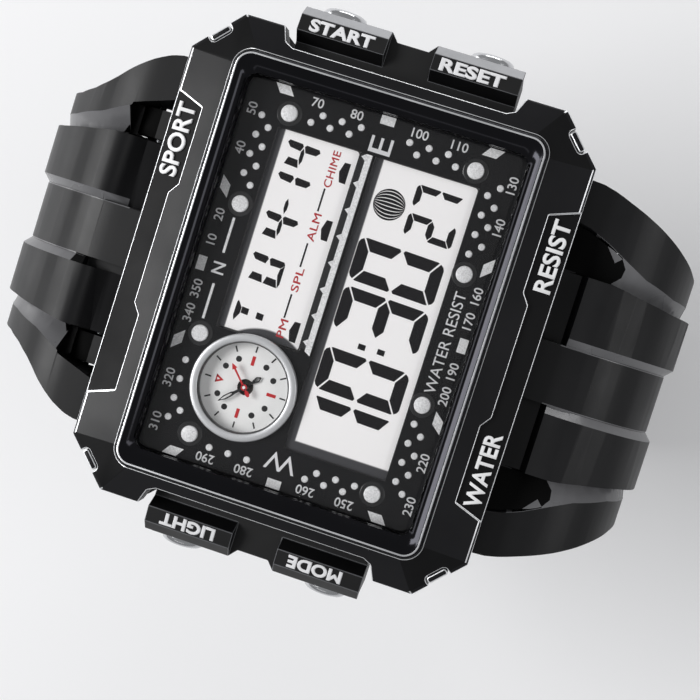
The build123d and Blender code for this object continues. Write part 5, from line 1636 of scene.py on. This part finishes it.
def shape_strap(item):
    """Move the rough strap's points to the real shape: a curved outline, ribs and hollows.

    The points are told apart by where the construction frame has them, and each keeps its run along
    the strap, which no tool of the edit mode can do in one move.
    """
    half = 1 if "upper" in item.name else -1
    cuts = [((0, half * y * MM, 0), (0, 1, 0)) for y in ROOT_CUTS]
    cuts += [((0, half * BEND_Y * MM, BEND_Z * MM), (0, half * cos(radians(turn)), -sin(radians(turn))))
             for turn in BEND_CUTS]
    cuts += [((0, 0, z * MM), (0, 0, 1)) for z in LEG_CUTS]
    edit(item)
    for place, normal in cuts:
        bpy.ops.mesh.select_all(action="SELECT")
        bpy.ops.mesh.bisect(plane_co=place, plane_no=normal)
    bpy.ops.mesh.select_all(action="DESELECT")
    leave_edit()
    for point in item.data.vertices:
        side = 1 if point.co.x > 0 else -1
        x, y, z = point.co.x * side / MM, point.co.y * half / MM, point.co.z / MM
        if z < SHAPED_Z or y < ROOT_Y - 0.01:
            continue
        run, height = on_face(y, z)
        if near(x, along(ROUGH_OUTLINE, y), 0.03) or (x > LEG_X and y > LEG_Y):
            point.co.x = side * along(OUTLINE[half], run) * MM
        elif height < -INNER_DEPTH or (z < EAR_SLOT_Z[1] and y < ROOT_INSIDE_Y):
            for rough_x, real_x in EAR_SLOT.items():
                if EAR_SLOT_Z[0] < z < EAR_SLOT_Z[1] and y < EAR_SLOT_Y and near(x, rough_x):
                    point.co.x = side * real_x * MM
        elif height >= -FACE_DEPTH:
            section = real_section(x, height, y, run, half, side)
            if section:
                y, z = off_face(run, section[1])
                point.co = (side * section[0] * MM, half * y * MM, z * MM)
    if half < 0:
        open_first_hole(item)


def real_section(x, height, y, run, half, side):
    """Half width and height, in mm, that a point near the rough strap's face gets, or nothing if it stays."""
    wall = along(ROUGH_TROUGH, y)
    rib, edge, depth = along(RIB_EDGE, run), along(BAND_EDGE, run), along(HOLLOW[half], run)
    raised = along(RIB_HEIGHT[half], y)
    open_slot = half > 0 and side < 0 and height < -0.5
    if near(x, wall, 0.03) and height > -0.06:
        return edge, height
    if near(x, ROUGH_EAR_OUT) and height > -0.06:
        return along(ROOT_EDGE, y), height
    if 10.4 < x < wall + 0.03 and height < 0.05:
        share = (x - ROUGH_TROUGH_FOOT) / (wall - ROUGH_TROUGH_FOOT)
        return rib + 0.16 + share * (edge - 0.05 - rib - 0.16), -depth * (1 - share) - 0.04 * share
    if near(x, ROUGH_EAR_IN) and abs(height) < 0.05:
        return x, raised - 0.7
    if near(x, ROUGH_RIB_OUT):
        if height > 0.05 or y < 20.4:
            return rib, raised
        return rib + 0.08, min(raised - 0.1, -depth / 2)
    if near(x, ROUGH_MIDDLE):
        if open_slot:
            return MIDDLE_X, height
        return (MIDDLE_X, MIDDLE_RISE) if height > 0.2 else (WALL_FOOT_X, 0.05)
    if near(x, ROUGH_RIB_IN):
        return (WALL_HEAD_X, raised) if height > 0.2 else (WALL_FOOT_X + 0.03, 0.05)
    if near(x, ROUGH_GROOVE):
        if height > -0.05:
            return WALL_HEAD_X, raised
        if not open_slot:
            return WALL_FOOT_X + 0.06, 0.0 if raised > 0 else raised - 0.05
    return None


# The tail's first hole in mm: its middle on the outer face, the way it points, its radius and its reach to
# each side
FIRST_HOLE, FIRST_HOLE_WAY = (0, -31.8, 22.48), (0, -0.889, 0.457)
FIRST_HOLE_R, FIRST_HOLE_REACH = 1.31, 1.8


def open_first_hole(item):
    """Drill the tail's first hole right through, because the rough strap's stops short of the face."""
    radius, reach = FIRST_HOLE_R * MM, FIRST_HOLE_REACH * MM
    drill = turned([(0, -reach), (radius, -reach), (radius, reach), (0, reach)],
                   metres([FIRST_HOLE])[0], 48, FIRST_HOLE_WAY)
    apply_modifier(item, "BOOLEAN", object=drill, operation="DIFFERENCE", solver="EXACT")
    discard(drill)


# The slanted flanks are told apart by their place past these along Y and Z, in mm
FLANK_Y, FLANK_Z = 21.3, 30
# The insides of slots painted dark as shade, by their extent along X, Y and Z, in mm: those for the case's
# ears, and the one left of the 12 half's middle band
EAR_DARK = ((9.5, 13.1), (0, 24.3), (48, 56.3))
LEFT_DARK = ((MIDDLE_X - 0.05, WALL_HEAD_X + 0.1), (21, 25), (54, 60))


def on_flank(face):
    """Whether a strap face belongs to the slanted flanks of the ribs or of the outer bands."""
    x, y, z = abs(face.center.x) / MM, abs(face.center.y) / MM, face.center.z / MM
    if z < FLANK_Z or y < FLANK_Y:
        return False
    run, height = on_face(y, z)
    by_middle = MIDDLE_X < x < WALL_HEAD_X and height > -0.2
    by_band = along(RIB_EDGE, run) + 0.2 < x < along(BAND_EDGE, run) + 0.1
    return 0.25 < abs(face.normal.x) < 0.98 and (by_middle or by_band) and -1.8 < height < 0.8


def in_slot(face):
    """Whether a strap face lies in a slot for the case's ears, or in the one left of the 12 half's middle."""
    place = (abs(face.center.x) / MM, abs(face.center.y) / MM, face.center.z / MM)
    in_ear, in_left = [all(low < value < high for value, (low, high) in zip(place, box))
                       for box in (EAR_DARK, LEFT_DARK)]
    return in_ear or in_left and face.center.x < 0 < face.center.y and abs(face.normal.x) > 0.2


class WATCH_OT_strap(bpy.types.Operator):
    """Shape the strap halves' ribs, and ease their moulded edges and the keepers'"""
    bl_idname = "watch.strap"
    bl_label = "Strap"

    def execute(self, context):
        width = context.scene.watch_strap.edge_width
        for node in ("strap_upper", "strap_lower"):
            half = dressed(node, f"{node}_moulding", strap_resin, None, width, shape_strap)
            # The slanted flanks get the painted highlight
            paint(half, strap_flank_highlight, on_flank)
            # The slots' insides get painted shade
            paint(half, painted_slot_shade, in_slot)
        for node in ("keeper_fixed", "keeper_free"):
            dressed(node, f"{node}_moulding", strap_resin, None, width)
        return {"FINISHED"}


class WATCH_OT_buckle(bpy.types.Operator):
    """Ease the buckle's edges and finish its tongue and axle"""
    bl_idname = "watch.buckle"
    bl_label = "Buckle"

    def execute(self, context):
        width = context.scene.watch_strap.buckle_edge_width
        for node in ("buckle_frame", "buckle_tongue", "buckle_bar"):
            dressed(node, f"{node}_finished", buckle_steel, None, width)
        return {"FINISHED"}


# Strength of the pale background that the camera sees past the floor
BACKGROUND = 0.9
# Soft lamps: name, place, width and depth in metres, and power in watts
LAMPS = [("key_lamp", (-0.04, 0.31, 0.38), 0.26, 0.2, 1.5),
         ("low_lamp", (0.02, 0.36, 0.06), 0.3, 0.08, 0.3),
         ("fill_lamp", (0.04, -0.32, 0.3), 0.2, 0.12, 0.24),
         ("side_lamp", (-0.34, 0.06, 0.3), 0.3, 0.04, 0.03),
         ("right_lamp", (0.36, 0.0, 0.1), 0.3, 0.05, 0.4)]


class WATCH_OT_stage(bpy.types.Operator):
    """Set the pale floor, the soft lamps and the camera"""
    bl_idname = "watch.stage"
    bl_label = "Stage"

    def execute(self, context):
        settings = context.scene.watch_stage
        deselect()
        bpy.ops.mesh.primitive_plane_add(size=settings.floor_size)
        floor = context.object
        floor.name = "floor"
        colour = tuple(settings.floor)
        floor.data.materials.append(new_material("pale_floor", Roughness=0.8, Base_Color=colour,
                                                 Emission_Color=colour,
                                                 Emission_Strength=settings.floor_glow)[0])

        aim = middle_of("bezel")
        for name, place, width, depth, power in LAMPS:
            bpy.ops.object.light_add(type="AREA", location=place)
            lamp = context.object
            lamp.name = name
            lamp.data.shape = "RECTANGLE"
            lamp.data.size, lamp.data.size_y = width, depth
            lamp.data.energy = power
            lamp.rotation_euler = (Vector(place) - aim).to_track_quat("Z", "Y").to_euler()

        world = bpy.data.worlds.new("soft_room")
        world.use_nodes = True
        tree = world.node_tree
        room = tree.nodes["Background"]
        room.inputs["Color"].default_value = linear("#f4f5f7")
        seen = add_node(tree, "ShaderNodeLightPath")
        level = add_node(tree, "ShaderNodeMapRange", {"Value": seen.outputs["Is Camera Ray"],
                                                      "To Min": settings.sky, "To Max": BACKGROUND})
        tree.links.new(level.outputs["Result"], room.inputs["Strength"])
        context.scene.world = world

        bpy.ops.object.camera_add(location=settings.camera_place, rotation=settings.camera_turn)
        camera = context.object
        camera.name = "camera"
        camera.data.lens = settings.lens
        camera.data.sensor_width = settings.sensor
        camera.data.clip_start = 0.005
        context.scene.camera = camera
        context.scene.view_settings.view_transform = "Standard"
        return {"FINISHED"}


class WATCH_PT_panel(bpy.types.Panel):
    """The watch's pieces and their sizes"""
    bl_idname = "WATCH_PT_panel"
    bl_label = "Watch"
    bl_space_type = "VIEW_3D"
    bl_region_type = "UI"
    bl_category = "Watch"

    def draw(self, context):
        for name, group in SETTINGS.items():
            box = self.layout.box()
            box.label(text=group.__doc__)
            for size in group.__annotations__:
                box.prop(getattr(context.scene, name), size)
        for piece in PIECES:
            self.layout.operator(piece.bl_idname)


SETTINGS = {
    "watch_case": CaseSettings, "watch_rim": RimSettings, "watch_dial": DialSettings,
    "watch_display": DisplaySettings, "watch_gauge": GaugeSettings, "watch_strap": StrapSettings,
    "watch_stage": StageSettings,
}
PIECES = (
    WATCH_OT_node_finishes, WATCH_OT_bezel, WATCH_OT_bezel_words, WATCH_OT_button_guards,
    WATCH_OT_legends, WATCH_OT_rim, WATCH_OT_studs, WATCH_OT_divider, WATCH_OT_window_rims,
    WATCH_OT_numerals, WATCH_OT_mask_blocks, WATCH_OT_display, WATCH_OT_gauge_ring,
    WATCH_OT_gauge_marks, WATCH_OT_gauge_hands, WATCH_OT_pushers, WATCH_OT_pusher_springs,
    WATCH_OT_strap, WATCH_OT_buckle, WATCH_OT_stage,
)


def register():
    for item in (*SETTINGS.values(), *PIECES, WATCH_PT_panel):
        bpy.utils.register_class(item)
    for name, group in SETTINGS.items():
        setattr(bpy.types.Scene, name, PointerProperty(type=group))


def unregister():
    for name in SETTINGS:
        delattr(bpy.types.Scene, name)
    for item in reversed((*SETTINGS.values(), *PIECES, WATCH_PT_panel)):
        bpy.utils.unregister_class(item)


def main():
    register()
    bpy.ops.watch.node_finishes()
    bpy.ops.watch.bezel()
    bpy.ops.watch.bezel_words()
    bpy.ops.watch.button_guards()
    bpy.ops.watch.legends()
    bpy.ops.watch.rim()
    bpy.ops.watch.studs()
    bpy.ops.watch.divider()
    bpy.ops.watch.window_rims()
    bpy.ops.watch.numerals()
    bpy.ops.watch.mask_blocks()
    bpy.ops.watch.display()
    bpy.ops.watch.gauge_ring()
    bpy.ops.watch.gauge_marks()
    bpy.ops.watch.gauge_hands()
    bpy.ops.watch.pushers()
    bpy.ops.watch.pusher_springs()
    bpy.ops.watch.strap()
    bpy.ops.watch.buckle()
    bpy.ops.watch.stage()


if __name__ == "__main__":
    main()
